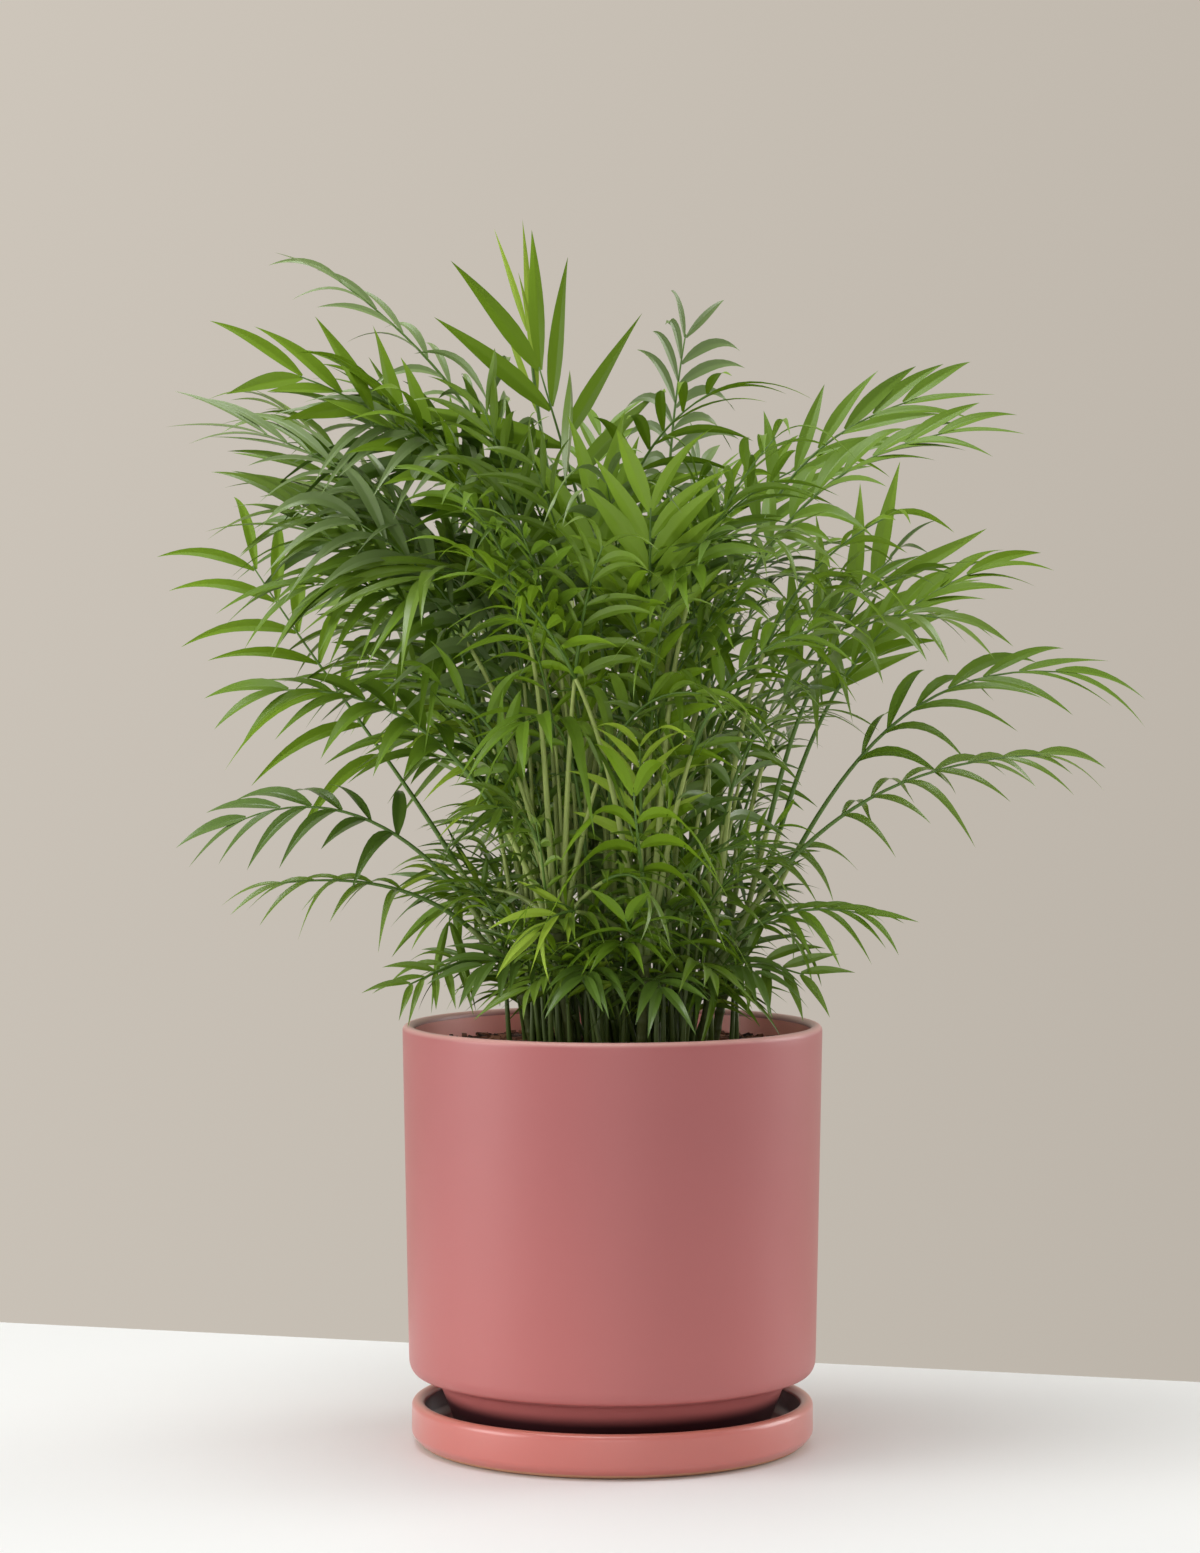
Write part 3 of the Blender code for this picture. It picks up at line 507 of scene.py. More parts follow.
@dataclass
class Pot:
    """The straight-sided pot, thrown thin, with a rounded lip and a drawn-in foot."""

    top: float = 0.216
    top_radius: float = 0.108
    low: float = 0.043
    low_radius: float = 0.1048
    wall: float = 0.006
    edge: float = 0.0377
    edge_radius: float = 0.102
    foot_top: float = 0.0335
    foot_top_radius: float = 0.0895
    foot_radius: float = 0.080
    foot_low: float = 0.0073
    floor: float = 0.0173
    segments: int = 160
    # its paler rim edge is partly a painted highlight; its dark foot and deeper top are painted shade
    glaze: SatinGlaze = SatinGlaze(
        "satin_glaze", "B66563", "DCA69F", 0.2132, 0.45, 0.25, "38181C", shaded_high_colour="AA5E5E"
    )
    # the inside is painted a paler, brighter pink, as the light that the crown keeps off the inner wall
    lining: SatinGlaze = SatinGlaze("lining_painted_light", "FFA098", "E0ABA4", 0.2132, 0.45, 0.25)

    def profile(self) -> list[tuple[float, float]]:
        """Give the rings from the foot, up the outside, over the lip and down to the floor.

        Returns:
            (radius, height) of each ring.
        """
        lip = self.wall / 2
        width = self.low_radius - self.edge_radius + 2 * MM
        rise = self.low - self.edge + 2.5 * MM
        shoulder = [
            (
                self.edge_radius - 2 * MM + width * math.sin(angle),
                self.edge - 0.9 * MM + rise * (1 - math.cos(angle)),
            )
            for angle in np.radians(np.linspace(0, 90, 11))
        ]
        sides = [
            (
                self.low_radius + (self.top_radius - self.low_radius) * share,
                self.low + (self.top - lip - self.low) * share,
            )
            for share in np.linspace(0.03, 0.98, 14)
        ]
        under = [
            (self.foot_top_radius + 0.9 * MM, self.foot_top + 0.5 * MM),
            (self.foot_top_radius + 4 * MM, self.foot_top + 1.7 * MM),
            (self.edge_radius - 5 * MM, self.edge - 1.8 * MM),
        ]
        inside = [
            (self.low_radius - self.wall, self.low + 4 * MM),
            (self.foot_top_radius - self.wall, self.foot_top + 4 * MM),
            (self.foot_radius - self.wall - 2 * MM, self.floor + 2 * MM),
            (self.foot_radius - self.wall - 6 * MM, self.floor),
        ]
        foot = [
            (self.foot_radius - 1 * MM, self.foot_low),
            (self.foot_radius, self.foot_low + 1 * MM),
            (self.foot_top_radius - 3.2 * MM, self.foot_top - 9 * MM),
            (self.foot_top_radius - 0.9 * MM, self.foot_top - 3 * MM),
            (self.foot_top_radius - 0.2 * MM, self.foot_top - 0.8 * MM),
        ]
        over = arc((self.top_radius - lip, self.top - lip), lip, 0, 180, 14)
        return foot + under + shoulder + sides + over + inside

    def build(self) -> None:
        """Build the pot and glaze it, its inside painted paler as light."""
        obj = throw("pot_glazed", self.profile(), self.segments)
        obj.data.materials.append(self.glaze.make())
        obj.data.materials.append(self.lining.make())
        lining_top = self.top - self.wall / 2
        # faces inside the pot take the lining that is painted as light
        for face in obj.data.polygons:
            height, across = face.center.z, face.center.xy.length
            if self.low < height < lining_top and across < self.inner_radius(height) + 1 * MM:
                face.material_index = 1
        obj.data.shade_smooth()
        settle_piece(obj, ["pot"])

    def inner_radius(self, height: float) -> float:
        """Give the radius inside the pot at a height.

        Args:
            height: The height over the table.

        Returns:
            The radius.
        """
        share = (height - self.low) / (self.top - self.low)
        return self.low_radius + (self.top_radius - self.low_radius) * share - self.wall


@dataclass
class Saucer:
    """The saucer: a glossy dish with a round rim, a chamfer and a wiped foot."""

    height: float = 0.023
    radius: float = 0.1034
    base_radius: float = 0.0978
    wall: float = 0.0067
    floor: float = 0.007
    chamfer: float = 0.006
    bare_height: float = 0.0024
    segments: int = 160
    glaze: SatinGlaze = SatinGlaze("saucer_glaze", "C76E66", "CF8270", 0.0212, 0.3, 0.6)
    # the dish's inside is painted darker, as the shade round the pot's foot
    shaded_inside: SatinGlaze = SatinGlaze("saucer_painted_shade", "6E3C40", "7A4A4A", 0.0200, 0.3, 0.3)

    def profile(self) -> list[tuple[float, float]]:
        """Give the rings from the underside, up the outside, over the rim and down to the floor.

        Returns:
            (radius, height) of each ring.
        """
        rim = self.wall / 2
        inner = self.radius - self.wall
        share = self.bare_height / self.chamfer
        wiped = (self.base_radius + (self.radius - self.base_radius) * share, self.bare_height)
        outside = [
            (self.base_radius - 3.0 * MM, 0.0),
            (self.base_radius - 2.2 * MM, 0.7 * MM),
            (self.base_radius + 0.3 * MM, 0.9 * MM),
            wiped,
            (self.radius - 0.9 * MM, self.chamfer - 0.9 * MM),
            (self.radius - 0.15 * MM, self.chamfer + 0.3 * MM),
            (self.radius, self.chamfer + 1.4 * MM),
        ]
        over = arc((self.radius - rim, self.height - rim), rim, 0, 180, 14)
        inside = [
            (inner - 0.3 * MM, self.floor + 5 * MM),
            (inner - 1.0 * MM, self.floor + 3 * MM),
            (inner - 2.2 * MM, self.floor + 1 * MM),
            (inner - 4.0 * MM, self.floor),
        ]
        return outside + over + inside

    def build(self) -> None:
        """Build the saucer, glazed but for its foot, with its inside painted dark as the pot's shade."""
        obj = throw("saucer_glazed", self.profile(), self.segments)
        obj.data.materials.append(self.glaze.make())
        obj.data.materials.append(BareClay().make())
        obj.data.materials.append(self.shaded_inside.make())
        inner = self.radius - self.wall - 0.13 * MM
        for face in obj.data.polygons:
            if face.center.z < self.bare_height:
                face.material_index = 1
            # painted shade on the dish's inside, round the pot's foot
            elif face.center.xy.length < inner and face.center.z < self.height - self.wall:
                face.material_index = 2
        obj.data.shade_smooth()
        settle_piece(obj, ["saucer"])


@dataclass
class PottingMix:
    """The bark mix: an uneven bed with loose chips of bark on it."""

    top: float = 0.203
    bed_sides: int = 96
    bed_rings: int = 23
    ring_width: float = 0.004
    tuck: float = 0.0015  # how far the bed's edge goes into the pot's wall
    relief: float = 0.0016
    waves: int = 8
    wave_numbers: tuple[float, float] = (60, 420)  # in radians for each metre
    crumble: float = 0.00025
    chips: int = 1500
    chip_lengths: tuple[float, float] = (0.0022, 0.0075)
    chip_widths: tuple[float, float] = (0.3, 0.7)  # as shares of the length
    chip_heights: tuple[float, float] = (0.18, 0.4)  # as shares of the length
    chip_wear: tuple[float, float] = (0.72, 1.0)  # how far out the corners are left
    chip_tilt: float = 22.0
    chip_lift_mm: tuple[float, float] = (0.1, 1.7)
    wall_gap: float = 0.005
    seed: int = 5
    bed: Bark = Bark("bark_fines", "5C3C2C", "2C1B12")
    kinds: tuple[Bark, ...] = (
        Bark("bark_brown", "8E5A42", "4A2C1F"),
        Bark("bark_rust", "AE7458", "66402D"),
        Bark("bark_black", "4E3325", "281810"),
    )

    def bed_piece(self, radius: float) -> None:
        """Build the bed that fills the pot up to the mix's top.

        Args:
            radius: The bed's radius.
        """
        deselect()
        start = {"radius": radius, "location": (0, 0, self.top)}
        bpy.ops.mesh.primitive_circle_add(vertices=self.bed_sides, fill_type="NGON", **start)
        obj = bpy.context.object
        obj.name = obj.data.name = "bark_bed"
        bpy.ops.object.transform_apply(location=True)
        bpy.ops.object.mode_set(mode="EDIT")
        bpy.ops.mesh.inset(thickness=self.ring_width / 2)
        for _ in range(self.bed_rings):
            bpy.ops.mesh.inset(thickness=self.ring_width)
        bpy.ops.object.mode_set(mode="OBJECT")
        rng = np.random.default_rng(self.seed)
        points = np.empty(len(obj.data.vertices) * 3)
        obj.data.vertices.foreach_get("co", points)
        points = points.reshape(-1, 3)
        shape = (self.waves, 2)
        waves = rng.uniform(*self.wave_numbers, shape) * rng.choice((-1, 1), shape)
        phases = rng.uniform(0, 6, self.waves)
        bumps = np.sin(points[:, :2] @ waves.T + phases).sum(axis=1) / self.waves
        points[:, 2] += self.relief * bumps + rng.normal(0, self.crumble, len(points))
        obj.data.vertices.foreach_set("co", points.ravel())
        obj.data.materials.append(self.bed.make())
        obj.data.shade_smooth()
        settle_piece(obj, ["potting_mix"])

    def chip_points(self, radius: float, rng: np.random.Generator) -> np.ndarray:
        """Cut one chip and drop it on the bed.

        Args:
            radius: The bed's radius.
            rng: The draws for the chip's size and place.

        Returns:
            Its eight corners.
        """
        corners = np.array([(x, y, z) for x in (-1, 1) for y in (-1, 1) for z in (-1, 1)], float) / 2
        long = rng.uniform(*self.chip_lengths)
        size = long * np.array((1.0, rng.uniform(*self.chip_widths), rng.uniform(*self.chip_heights)))
        shape = corners * size * rng.uniform(*self.chip_wear, (8, 3))
        flat = plan_direction(rng.uniform(0, 360))
        side = leftwards(flat)
        lean = math.radians(rng.normal(0, self.chip_tilt))
        axis = flat * math.cos(lean) + np.array((0, 0, math.sin(lean)))
        reach = (radius - self.wall_gap) * math.sqrt(rng.uniform(0, 1))
        centre = plan_direction(rng.uniform(0, 360)) * reach
        centre[2] = self.top + rng.uniform(*self.chip_lift_mm) * MM
        return centre + shape @ np.array((axis, side, np.cross(axis, side)))

    def chip_pieces(self, radius: float) -> None:
        """Scatter the chips, each kind joined in one piece.

        Args:
            radius: The bed's radius.
        """
        rng = np.random.default_rng(self.seed + 1)
        sides = ((0, 1, 3, 2), (4, 6, 7, 5), (0, 4, 5, 1), (2, 3, 7, 6), (0, 2, 6, 4), (1, 5, 7, 3))
        for kind in self.kinds:
            chips = [self.chip_points(radius, rng) for _ in range(self.chips // len(self.kinds))]
            faces = [tuple(8 * index + i for i in face) for index in range(len(chips)) for face in sides]
            obj = object_from(f"chips_{kind.name}", np.concatenate(chips), faces, kind.make())
            obj.data.shade_flat()
            settle_piece(obj)

    def build(self, radius: float) -> None:
        """Build bed and chips.

        Args:
            radius: The radius inside the pot at the mix's top.
        """
        self.bed_piece(radius + self.tuck)
        self.chip_pieces(radius)


# The plant's growth.


@dataclass(frozen=True)
class Stem:
    """A short cane from the mix to the place where its fronds part."""

    number: int
    bearing: float
    root: np.ndarray
    top: np.ndarray


@dataclass(frozen=True)
class StemRing:
    """A ring of stems round the middle of the clump."""

    count: int
    first: float  # the first stem's bearing
    radius: float
    height: float
    lean: float  # degrees outwards


@dataclass(frozen=True)
class Frond:
    """One frond: the solid it stands for, where its rachis ends and how it gets there."""

    node: str
    stem: int
    tip: Point
    lean: float  # degrees from upright, where its stalk starts
    pitch: float  # degrees above level, where its rachis ends
    roll: float  # degrees that its blade is turned about the rachis
    leafy: float  # the length that bears leaflets
    pairs: int
    leaf: float  # the length of its longest leaflets
    width: float
    droop: float  # how far leaflets fall, as a share of their length
    spread: float = 56.0  # degrees between the rachis and its first leaflets
    tip_spread: float = 24.0  # degrees between the rachis and its last leaflets
    tone: Tone = Tone.GREEN
    drawn: bool = False  # listed one by one, not by the rule
    companion: bool = False  # from the mix, with no solid of its own


def outline_frond(node: str, tone: Tone, stem: int, tip: Point, *sizes: float) -> Frond:
    """Give a frond of the plant's outline.

    Args:
        node: The solid's name after "frond_".
        tone: Its green.
        stem: Its stem's number.
        tip: Where its rachis ends, in millimetres.
        sizes: Lean, pitch and roll in degrees; leafy length in millimetres and pairs; leaflet
            length and width in millimetres; droop; then the leaflets' angles where they differ.

    Returns:
        The frond, in metres.
    """
    lean, pitch, roll, leafy, pairs, leaf, width, droop, *angles = sizes
    place = tuple(value * MM for value in tip)
    shape = (lean, pitch, roll, leafy * MM, int(pairs), leaf * MM, width * MM, droop)
    named = dict(zip(("spread", "tip_spread"), angles))
    return replace(Frond(f"frond_{node}", stem, place, *shape), tone=tone, drawn=True, **named)


OUTLINE_FRONDS = (
    outline_frond("left_low", Tone.DARK, 5, (-188, -22, 322), 24, -22, -38, 78, 5, 44, 9, 0.34, 60, 16),
    outline_frond("left_lowest", Tone.DEEP, 5, (-168, -52, 291), 30, -6, -20, 62, 4, 36, 6, 0.60, 50, 12),
    outline_frond("left_middle", Tone.GREEN, 6, (-163, -66, 388), 20, -2, -22, 84, 5, 50, 13, 0.50),
    outline_frond("left_fresh", Tone.BRIGHT, 5, (-192, 8, 452), 28, 55, -60, 122, 6, 64, 9, 0.50, 62),
    outline_frond("left_grey", Tone.GREY, 11, (-176, -34, 517), 16, 20, -30, 92, 7, 66, 7, 0.30, 44),
    outline_frond("left_bright", Tone.BRIGHT, 11, (-154, -88, 542), 14, 16, -56, 112, 6, 60, 12, 0.08),
    outline_frond("left_top", Tone.GREY, 10, (-142, 26, 600), 10, 36, -34, 110, 6, 46, 6, 0.42, 40, 10),
    outline_frond("top_fan", Tone.BRIGHT, 12, (-37, -42, 550), 4, 72, 86, 76, 4, 84, 13, 0.04, 84, 18),
    outline_frond("spear", Tone.PALE, 10, (-44, 30, 576), 3, 84, 80, 34, 1, 68, 5, 0.0, 11, 6),
    outline_frond("top_curled", Tone.GREY, 9, (38, 22, 572), 3, 78, 96, 92, 8, 46, 7, 0.60, 62),
    outline_frond("back_small", Tone.GREY, 9, (76, 70, 508), 8, 60, 70, 40, 3, 32, 8, 0.10),
    outline_frond("right_top", Tone.GREEN, 9, (154, 40, 538), 16, 18, 54, 104, 6, 58, 9, 0.14, 36, 14),
    outline_frond("right_upper", Tone.GREEN, 12, (166, -36, 517), 17, 12, 34, 104, 6, 52, 11, 0.30, 38, 16),
    outline_frond("right_blades", Tone.FRESH, 2, (140, 64, 442), 20, 50, 60, 70, 3, 82, 12, 0.04, 38),
    outline_frond("right_middle", Tone.BRIGHT, 1, (186, 22, 448), 22, 24, 36, 92, 6, 52, 9, 0.24, 36, 14),
    outline_frond("right_hanging", Tone.DEEP, 1, (164, -48, 424), 24, -12, 26, 80, 5, 46, 8, 0.60),
    outline_frond("right_long", Tone.GREEN, 1, (230, 4, 397), 26, -4, 32, 112, 6, 56, 8, 0.40, 38, 12),
    outline_frond("right_low", Tone.DEEP, 8, (216, -34, 355), 28, 2, 30, 104, 6, 42, 7, 0.50, 46, 16),
    outline_frond("right_lowest", Tone.GREEN, 8, (122, -62, 277), 30, -8, 30, 44, 4, 38, 6, 0.40, 40, 12),
    outline_frond("right_rim", Tone.DEEP, 8, (96, -48, 245), 30, -10, 60, 30, 3, 32, 6, 0.20, 70),
    outline_frond("centre_bright", Tone.FRESH, 12, (18, -118, 476), 10, 58, 6, 74, 5, 64, 12, 0.14, 44),
    outline_frond("front_bright", Tone.BRIGHT, 7, (10, -100, 338), 6, 66, -4, 46, 3, 50, 11, 0.80, 78),
    outline_frond("front_low", Tone.GREEN, 7, (6, -96, 276), 10, 48, 4, 26, 2, 40, 10, 0.30, 80),
    outline_frond("left_rim", Tone.DEEP, 5, (-112, -60, 242), 32, -14, -30, 34, 4, 30, 5, 0.35, 62),
)


# Fronds in the middle and at the foot of the crown that stand for no solid of their own.
MIDDLE_FRONDS = (
    outline_frond("blades", Tone.FRESH, 0, (-8, -84, 470), 8, 78, 8, 36, 2, 70, 13, 0.12, 32, 12),
    outline_frond("level", Tone.DEEP, 0, (-24, -60, 492), 8, 60, 80, 30, 1, 84, 13, 0.16, 84, 60),
    outline_frond("hanging", Tone.GREEN, 0, (-44, -104, 372), 14, -20, 10, 50, 3, 52, 9, 0.9, 60, 20),
    outline_frond("swept", Tone.DEEP, 0, (-158, -30, 478), 20, 12, -40, 84, 8, 62, 8, 0.40, 56, 24),
    outline_frond("drooping", Tone.GREEN, 0, (-150, -60, 440), 22, -8, -30, 80, 8, 58, 8, 0.70, 60, 24),
    outline_frond("arched", Tone.GREY, 0, (-120, -70, 520), 12, 4, -40, 76, 7, 60, 8, 0.50, 58, 24),
    outline_frond("base_1", Tone.DARK, 0, (-66, -62, 250), 30, -20, -24, 46, 6, 36, 7, 0.45, 58, 26),
    outline_frond("base_2", Tone.DEEP, 0, (-42, -76, 240), 30, -30, 10, 46, 6, 38, 7, 0.40, 62, 26),
    outline_frond("base_3", Tone.DARK, 0, (-14, -84, 246), 26, -24, -8, 44, 6, 38, 7, 0.45, 58, 26),
    outline_frond("base_4", Tone.GREEN, 0, (4, -78, 262), 24, -10, 6, 44, 6, 40, 7, 0.50, 60, 26),
    outline_frond("base_5", Tone.DARK, 0, (24, -82, 240), 30, -30, 14, 46, 6, 38, 7, 0.40, 62, 26),
    outline_frond("base_6", Tone.DEEP, 0, (50, -72, 248), 30, -24, -10, 46, 6, 38, 7, 0.45, 58, 26),
    outline_frond("base_7", Tone.DARK, 0, (72, -54, 246), 32, -26, 20, 44, 6, 36, 7, 0.45, 58, 26),
    outline_frond("base_8", Tone.DEEP, 0, (-26, -70, 274), 22, -6, 12, 44, 6, 40, 7, 0.50, 60, 26),
    outline_frond("base_9", Tone.DARK, 0, (36, -64, 276), 22, -6, -12, 44, 6, 40, 7, 0.50, 60, 26),
)


@dataclass
class Grown:
    """A frond whose stalk has found its way, with the curve that it follows."""

    frond: Frond
    seat: np.ndarray
    curve: np.ndarray  # four control points
    plan: np.ndarray  # the level direction from seat to tip
    path: np.ndarray  # points along the curve


def along(curve: np.ndarray, share: Sequence[float]) -> tuple[np.ndarray, np.ndarray]:
    """Follow a cubic curve.

    Args:
        curve: Its four control points.
        share: Shares of its parameter.

    Returns:
        The points there and the unit directions there.
    """
    share = np.asarray(share, float)[:, None]
    rest = 1 - share
    points = (
        rest**3 * curve[0]
        + 3 * rest**2 * share * curve[1]
        + 3 * rest * share**2 * curve[2]
        + share**3 * curve[3]
    )
    slopes = 3 * (
        rest**2 * (curve[1] - curve[0])
        + 2 * rest * share * (curve[2] - curve[1])
        + share**2 * (curve[3] - curve[2])
    )
    return points, unit(slopes)


def curve_shares(curve: np.ndarray, back: Sequence[float]) -> np.ndarray:
    """Find places on a curve by their length from its end.

    Args:
        curve: Its four control points.
        back: The lengths.

    Returns:
        The shares of the curve's parameter.
    """
    dense = np.linspace(0, 1, 200)
    run = run_along(along(curve, dense)[0])
    return np.interp(run[-1] - np.asarray(back), run, dense)


@dataclass
class Growth:
    """The rule by which stems and fronds grow, the same as the solids follow."""

    mix_top: float = 0.203
    gap: float = 0.0003
    outer_ring: StemRing = StemRing(8, 10.0, 0.047, 0.030, 11.0)
    inner_ring: StemRing = StemRing(4, 30.0, 0.019, 0.085, 4.0)
    height_step: float = 0.011
    height_steps: tuple[int, ...] = (0, 3, 2, 1)
    clump: tuple[float, float] = (0.006, 0.002)  # the clump's middle
    seat_ring: float = 0.0026
    pull: float = 0.4  # the reach of a curve's handles, as a share of its chord
    stalk_room: float = 0.0050
    seat_room: float = 0.0032
    seat_stretch: float = 0.030
    stem_room: float = 0.0068
    sways: tuple[int, ...] = (0, 6, -6, 12, -12, 18, -18, 25, -25, 32, -32, 40, -40)
    crown_heights: tuple[float, ...] = (0.235, 0.340, 0.400, 0.460, 0.530, 0.590, 0.625)
    crown_radii: tuple[float, ...] = (0.105, 0.130, 0.175, 0.205, 0.200, 0.130, 0.040)
    least_radius: float = 0.03
    # stem, sprays, fronds in each, and the degrees that they are turned
    sprays: tuple[tuple[int, int, int, float], ...] = (
        (1, 1, 3, 0.0),
        (2, 3, 3, 0.0),
        (3, 3, 4, 4.0),
        (4, 3, 4, 4.0),
        (6, 3, 3, 0.0),
        (7, 2, 3, 0.0),
        (8, 1, 3, 0.0),
        (10, 2, 4, 0.0),
        (11, 2, 3, 0.0),
        (12, 1, 4, 0.0),
    )
    spray_step: float = 36.0  # degrees between an outer stem's sprays
    bearing_play: float = 26.0
    levels: tuple[float, float] = (0.270, 0.550)
    level_play: float = 0.018
    front: float = 270.0
    front_width: float = 60.0
    front_level: float = 0.375  # the least height of the fronds there, but for the lowest
    inner_level: float = 0.43
    inner_raise: float = 0.015
    short_below: float = 0.34
    short_leaves: tuple[float, float] = (0.036, 0.046)
    long_leaves: tuple[float, float] = (0.050, 0.062)
    leaf_inset: float = 0.6  # how far inside the crown a rachis ends, in leaflet lengths
    inner_reach: tuple[float, float] = (0.45, 0.80)  # as shares of the crown's radius
    outer_reach: tuple[float, float] = (0.78, 1.05)
    lean_share: float = 0.42  # a stalk's first lean, as a share of its chord's
    level_pitch: float = 72.0
    pitch_fall: float = 1.9  # how much the end sinks for each degree of the chord's lean
    pitch_play: float = 12.0
    roll_play: float = 30.0
    leafy_share: float = 0.5  # the most of the chord that has leaflets
    leafy_lengths: tuple[float, float] = (0.080, 0.105)
    droops: tuple[float, float] = (0.15, 0.5)
    slimness: float = 0.26
    seed: int = 11
    stems: dict[int, Stem] = field(default_factory=dict)

    def plant_stems(self) -> None:
        """Set the outer ring of stems, then the inner one."""
        for ring in (self.outer_ring, self.inner_ring):
            for step in range(ring.count):
                bearing = ring.first + step * 360.0 / ring.count
                outward = plan_direction(bearing)
                root = outward * ring.radius + (*self.clump, self.mix_top + self.gap)
                rise = ring.height + self.height_step * self.height_steps[step % len(self.height_steps)]
                top = root + outward * rise * math.tan(math.radians(ring.lean)) + (0, 0, rise)
                number = len(self.stems) + 1
                self.stems[number] = Stem(number, bearing, root, top)

    def crown_radius(self, height: float) -> float:
        """Give the radius of the crown's leaf tips at a height."""
        return float(np.interp(height, self.crown_heights, self.crown_radii))

    def spray_frond(
        self, stem: Stem, node: str, tip: np.ndarray, leaf: float, rng: np.random.Generator
    ) -> Frond:
        """Give an inner frond that ends at tip, arched as its slope asks.

        Args:
            stem: The stem it stands on.
            node: The solid it belongs to.
            tip: Where its rachis ends.
            leaf: The length of its leaflets.
            rng: The draws, in the source's order.

        Returns:
            The frond.
        """
        chord = tip - stem.top
        slope = lean_of(chord)
        pitch = self.level_pitch - self.pitch_fall * slope + rng.uniform(-self.pitch_play, self.pitch_play)
        roll = rng.uniform(-self.roll_play, self.roll_play)
        leafy = min(self.leafy_share * float(np.linalg.norm(chord)), rng.uniform(*self.leafy_lengths))
        droop = rng.uniform(*self.droops)
        shape = (self.lean_share * slope, pitch, roll, leafy, 2, leaf, self.slimness * leaf, droop)
        return Frond(node, stem.number, tuple(tip), *shape)

    def spray_fronds(
        self, entry: tuple[int, int, int, float], rng: np.random.Generator
    ) -> list[list[Frond]]:
        """Give the inner fronds of one stem.

        Args:
            entry: The stem's number, its sprays, the fronds in each and their turn.
            rng: The draws, in the source's order.

        Returns:
            A list of fronds for each spray.
        """
        number, count, fronds, turn = entry
        stem = self.stems[number]
        inner = number > self.outer_ring.count
        step = 360.0 / count if inner else self.spray_step
        found = []
        for index in range(count):
            middle = stem.bearing + turn + step * (index - (count - 1) / 2)
            node = f"fronds_{number:02d}{'abc'[index]}"
            spray = []
            for level in range(fronds):
                place = (level + 0.5 * (index % 2)) / fronds
                height = float(np.interp(place, (0, 1), self.levels))
                bearing = middle + rng.uniform(-self.bearing_play, self.bearing_play)
                from_front = abs((bearing - self.front + 180) % 360 - 180)
                if from_front < self.front_width and level:
                    height = max(height, self.front_level)
                if inner:
                    height = max(height, self.inner_level) + self.inner_raise
                height += rng.uniform(-self.level_play, self.level_play)
                leaf = rng.uniform(*(self.long_leaves if height > self.short_below else self.short_leaves))
                share = rng.uniform(*(self.inner_reach if inner else self.outer_reach))
                radius = self.crown_radius(height) - self.leaf_inset * leaf
                radius = max(radius, self.least_radius) * share
                tip = plan_direction(bearing) * radius + (0, 0, height)
                spray.append(self.spray_frond(stem, node, tip, leaf, rng))
            found.append(spray)
        return found

    def grow(self, frond: Frond, seat: np.ndarray) -> Grown:
        """Bend a frond's stalk from its seat to its tip.

        Args:
            frond: The frond.
            seat: Where its stalk starts.

        Returns:
            The frond with its curve.
        """
        tip = np.array(frond.tip)
        plan = unit((tip - seat) * (1, 1, 0))
        pull = self.pull * np.linalg.norm(tip - seat)
        lean, pitch = math.radians(frond.lean), math.radians(frond.pitch)
        up = np.array((0, 0, 1.0))
        first = seat + pull * (plan * math.sin(lean) + up * math.cos(lean))
        last = tip - pull * (plan * math.cos(pitch) + up * math.sin(pitch))
        curve = np.array((seat, first, last, tip))
        path, _ = along(curve, np.linspace(0, 1, 60))
        return Grown(frond, seat, curve, plan, path)

    def seats_of(self, stem: Stem, bearings: list[float]) -> list[np.ndarray]:
        """Share out the top of a stem among its fronds, each on the side it goes to.

        Args:
            stem: The stem.
            bearings: Where the fronds go.

        Returns:
            Their seats.
        """
        order = np.argsort(np.mod(bearings, 360))
        count = len(bearings)
        turns = np.empty(count)
        turns[order] = np.arange(count) * 360.0 / count
        off = np.radians(np.asarray(bearings) - turns)
        shift = math.degrees(math.atan2(np.sin(off).sum(), np.cos(off).sum()))
        top = stem.top + (0, 0, self.gap)
        return [top + self.seat_ring * plan_direction(turn + shift) for turn in turns]

    def room_left(self, grown: Grown, others: list[Grown]) -> float:
        """Measure a stalk's room beside the other fronds' stalks and the stems.

        Args:
            grown: The frond.
            others: The fronds that stand already.

        Returns:
            The least distance beyond what is asked, negative where they are too near.
        """
        path, worst = grown.path, 1.0
        from_seat = np.linalg.norm(path - grown.seat, axis=1)
        for other in others:
            if other.frond.node == grown.frond.node:
                continue
            apart = np.linalg.norm(path[:, None] - other.path[None], axis=2).min(axis=1)
            need = self.stalk_room
            if other.frond.stem == grown.frond.stem:
                need = np.interp(from_seat, (0, self.seat_stretch), (self.seat_room, self.stalk_room))
            worst = min(worst, float((apart - need).min()))
        for stem in self.stems.values():
            if stem.number == grown.frond.stem:
                continue
            line = np.linspace(stem.root, stem.top, 12)
            apart = np.linalg.norm(path[:, None] - line[None], axis=2).min(axis=1)
            worst = min(worst, float(apart.min()) - self.stem_room)
        return worst

    def settle(self, frond: Frond, seat: np.ndarray, others: list[Grown]) -> tuple[Grown, bool]:
        """Sway a frond sideways until it clears its neighbours.

        Args:
            frond: The frond.
            seat: Its seat.
            others: The fronds that stand already.

        Returns:
            The frond where it has most room, and whether it is clear.
        """
        base = self.grow(frond, seat)
        across = leftwards(base.plan)
        best, most = base, -1.0
        for sway in self.sways:
            moved = replace(frond, tip=tuple(np.array(frond.tip) + across * sway * MM))
            grown = self.grow(moved, seat)
            room = self.room_left(grown, others)
            if room >= 0:
                return grown, True
            if room > most:
                best, most = grown, room
        return best, False

